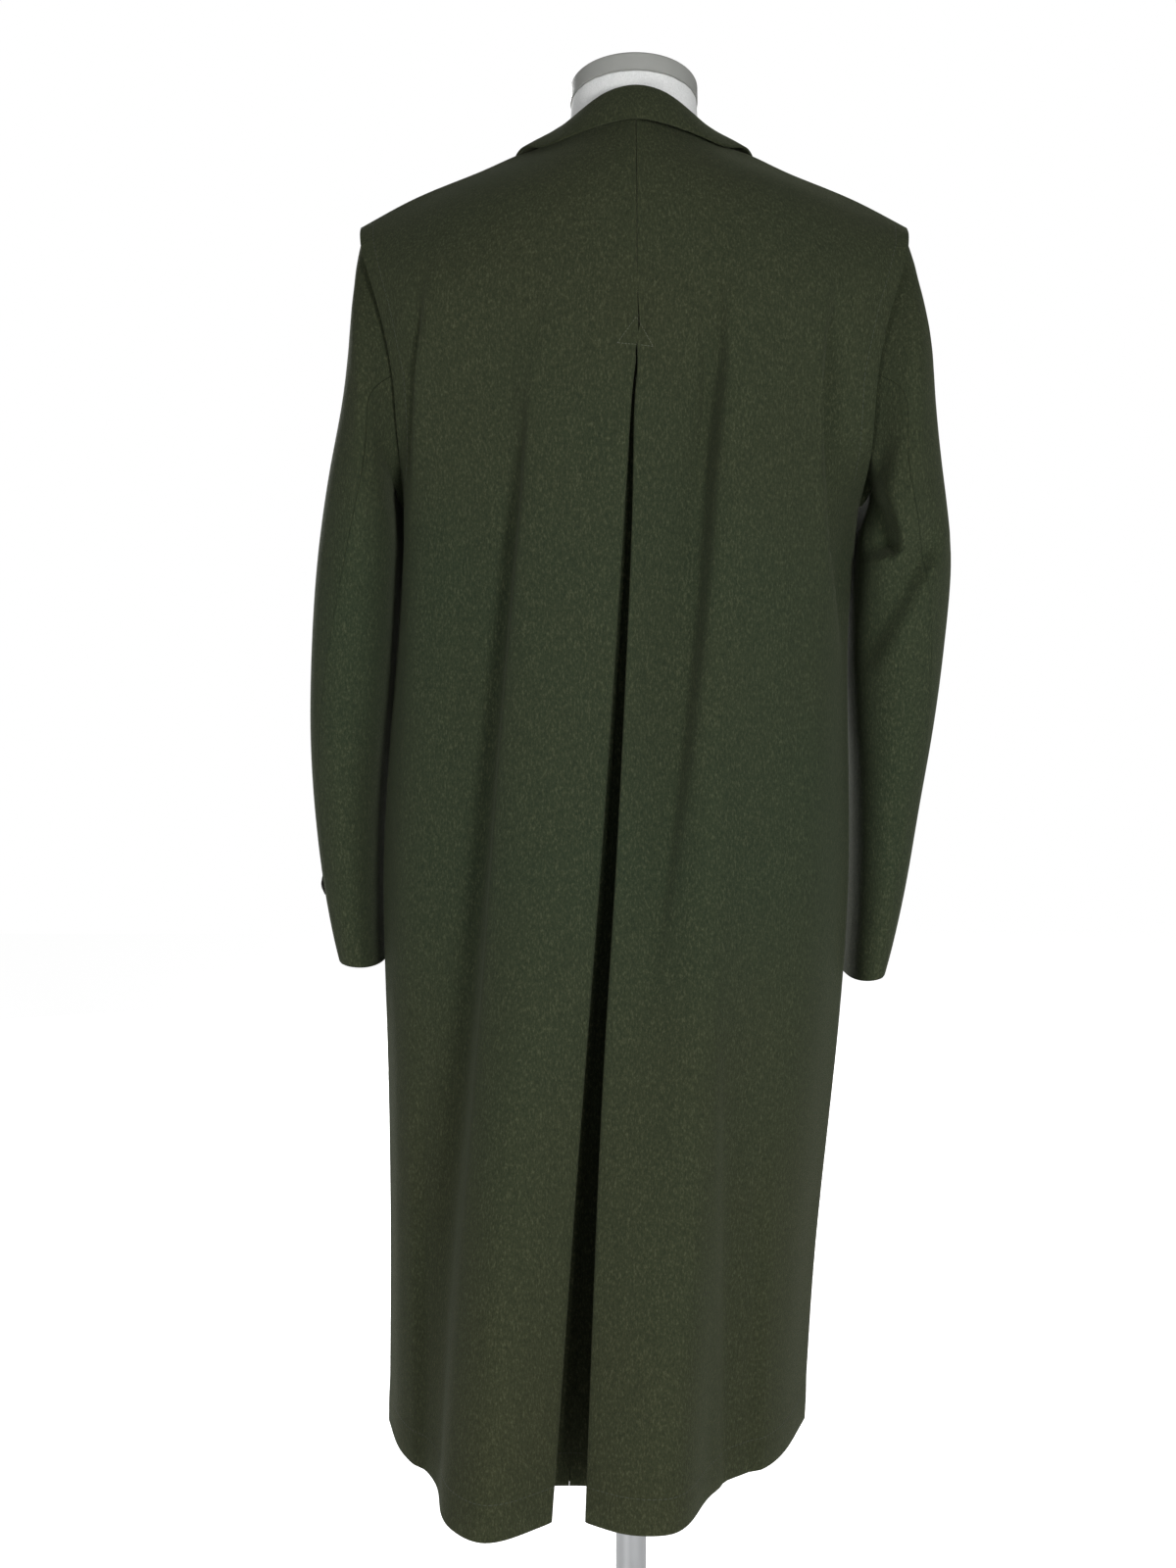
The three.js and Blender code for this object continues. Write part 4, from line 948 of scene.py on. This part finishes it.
# Neck cap: a turned wooden disc in matt grey lacquer on the neck's slant, with a rounded top edge.
CAP_RADIUS = 0.055
CAP_HEIGHT = 0.017
CAP_TILT = math.radians(18)
CAP_CENTRE = (0, 0.002, 1.477)
CAP_TOP_ROUND = 0.0032
CAP_FOOT_INSET = 0.0016
CAP_FOOT_STEP = 0.0002
cap_paint = bpy.data.materials.new("grey_lacquer")
cap_paint.use_nodes = True
cap_shader = cap_paint.node_tree.nodes["Principled BSDF"]
cap_shader.inputs["Roughness"].default_value = 0.45
cap_place = cap_paint.node_tree.nodes.new("ShaderNodeTexCoord")
cap_cloud = cap_paint.node_tree.nodes.new("ShaderNodeTexNoise")
cap_cloud.inputs["Scale"].default_value = 60.0
cap_colour = cap_paint.node_tree.nodes.new("ShaderNodeValToRGB")
cap_colour.color_ramp.elements[0].color = (0.32, 0.325, 0.305, 1)
cap_colour.color_ramp.elements[1].color = (0.36, 0.365, 0.345, 1)
cap_orange_peel = cap_paint.node_tree.nodes.new("ShaderNodeBump")
cap_orange_peel.inputs["Strength"].default_value = 0.08
cap_orange_peel.inputs["Distance"].default_value = 0.0003
cap_paint.node_tree.links.new(cap_place.outputs["Object"], cap_cloud.inputs["Vector"])
cap_paint.node_tree.links.new(cap_cloud.outputs["Fac"], cap_colour.inputs["Fac"])
cap_paint.node_tree.links.new(cap_colour.outputs["Color"], cap_shader.inputs["Base Color"])
cap_paint.node_tree.links.new(cap_cloud.outputs["Fac"], cap_orange_peel.inputs["Height"])
cap_paint.node_tree.links.new(cap_orange_peel.outputs["Normal"], cap_shader.inputs["Normal"])
bpy.ops.object.select_all(action="DESELECT")
bpy.ops.mesh.primitive_cylinder_add(vertices=96, radius=CAP_RADIUS, depth=CAP_HEIGHT,
                                    location=(0, 0, CAP_HEIGHT / 2))
neck_cap = bpy.context.object
neck_cap.name = "lacquered_cap"
bpy.ops.object.transform_apply(location=True)
bpy.ops.object.mode_set(mode="EDIT")
bpy.ops.mesh.select_all(action="DESELECT")
cap_form = bmesh.from_edit_mesh(neck_cap.data)
for edge in cap_form.edges:
    edge.select_set(all(v.co.z > CAP_HEIGHT * 0.9 for v in edge.verts))
bmesh.update_edit_mesh(neck_cap.data)
bpy.ops.mesh.bevel(offset=CAP_TOP_ROUND, segments=5, affect="EDGES")
select_faces(neck_cap, lambda face: face.normal.z < -0.9)
bpy.ops.mesh.inset(thickness=CAP_FOOT_INSET)
bpy.ops.transform.translate(value=(0, 0, CAP_FOOT_STEP))
bpy.ops.object.mode_set(mode="OBJECT")
neck_cap.data.transform(Matrix.Translation(CAP_CENTRE) @ Matrix.Rotation(-CAP_TILT, 4, "X"))
select_only(neck_cap)
bpy.ops.object.shade_smooth_by_angle(angle=math.radians(40))
neck_cap.data.materials.append(cap_paint)
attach(neck_cap, "root")
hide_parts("neck_cap")


# Stand: a brushed steel tube and a round spun steel base, which hold the torso off the floor.
BASE_RADIUS = 0.190
BASE_HEIGHT = 0.012
BASE_ROUND = 0.004
POLE_RADIUS = 0.014
POLE_ROUND = 0.0008
steel = bpy.data.materials.new("brushed_steel")
steel.use_nodes = True
steel_shader = steel.node_tree.nodes["Principled BSDF"]
steel_shader.inputs["Metallic"].default_value = 1.0
steel_shader.inputs["Base Color"].default_value = (0.55, 0.56, 0.57, 1)
steel_place = steel.node_tree.nodes.new("ShaderNodeTexCoord")
steel_stretch = steel.node_tree.nodes.new("ShaderNodeMapping")
steel_stretch.inputs["Scale"].default_value = (1.0, 1.0, 30.0)
steel_lines = steel.node_tree.nodes.new("ShaderNodeTexNoise")
steel_lines.inputs["Scale"].default_value = 60.0
steel_lines.inputs["Detail"].default_value = 4.0
steel_gloss = steel.node_tree.nodes.new("ShaderNodeMapRange")
steel_gloss.inputs["To Min"].default_value = 0.22
steel_gloss.inputs["To Max"].default_value = 0.42
steel.node_tree.links.new(steel_place.outputs["Object"], steel_stretch.inputs["Vector"])
steel.node_tree.links.new(steel_stretch.outputs["Vector"], steel_lines.inputs["Vector"])
steel.node_tree.links.new(steel_lines.outputs["Fac"], steel_gloss.inputs["Value"])
steel.node_tree.links.new(steel_gloss.outputs["Result"], steel_shader.inputs["Roughness"])
pole_low, pole_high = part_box("stand_pole")
for name, node, radius, low, high, rounding in (
        ("steel_base", "stand_base", BASE_RADIUS, 0.0, BASE_HEIGHT, BASE_ROUND),
        ("steel_pole", "stand_pole", POLE_RADIUS, pole_low[2], pole_high[2], POLE_ROUND)):
    bpy.ops.object.select_all(action="DESELECT")
    bpy.ops.mesh.primitive_cylinder_add(vertices=96, radius=radius, depth=high - low,
                                        location=(0, 0, (low + high) / 2))
    metal = bpy.context.object
    metal.name = name
    bpy.ops.object.transform_apply(location=True)
    bpy.ops.object.mode_set(mode="EDIT")
    bpy.ops.mesh.select_all(action="DESELECT")
    metal_form = bmesh.from_edit_mesh(metal.data)
    for edge in metal_form.edges:
        edge.select_set(all(v.co.z > high - 0.0001 for v in edge.verts))
    bmesh.update_edit_mesh(metal.data)
    bpy.ops.mesh.bevel(offset=rounding, segments=4, affect="EDGES")
    bpy.ops.object.mode_set(mode="OBJECT")
    bpy.ops.object.shade_smooth_by_angle(angle=math.radians(40))
    metal.data.materials.append(steel)
    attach(metal, "root")
    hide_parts(node)
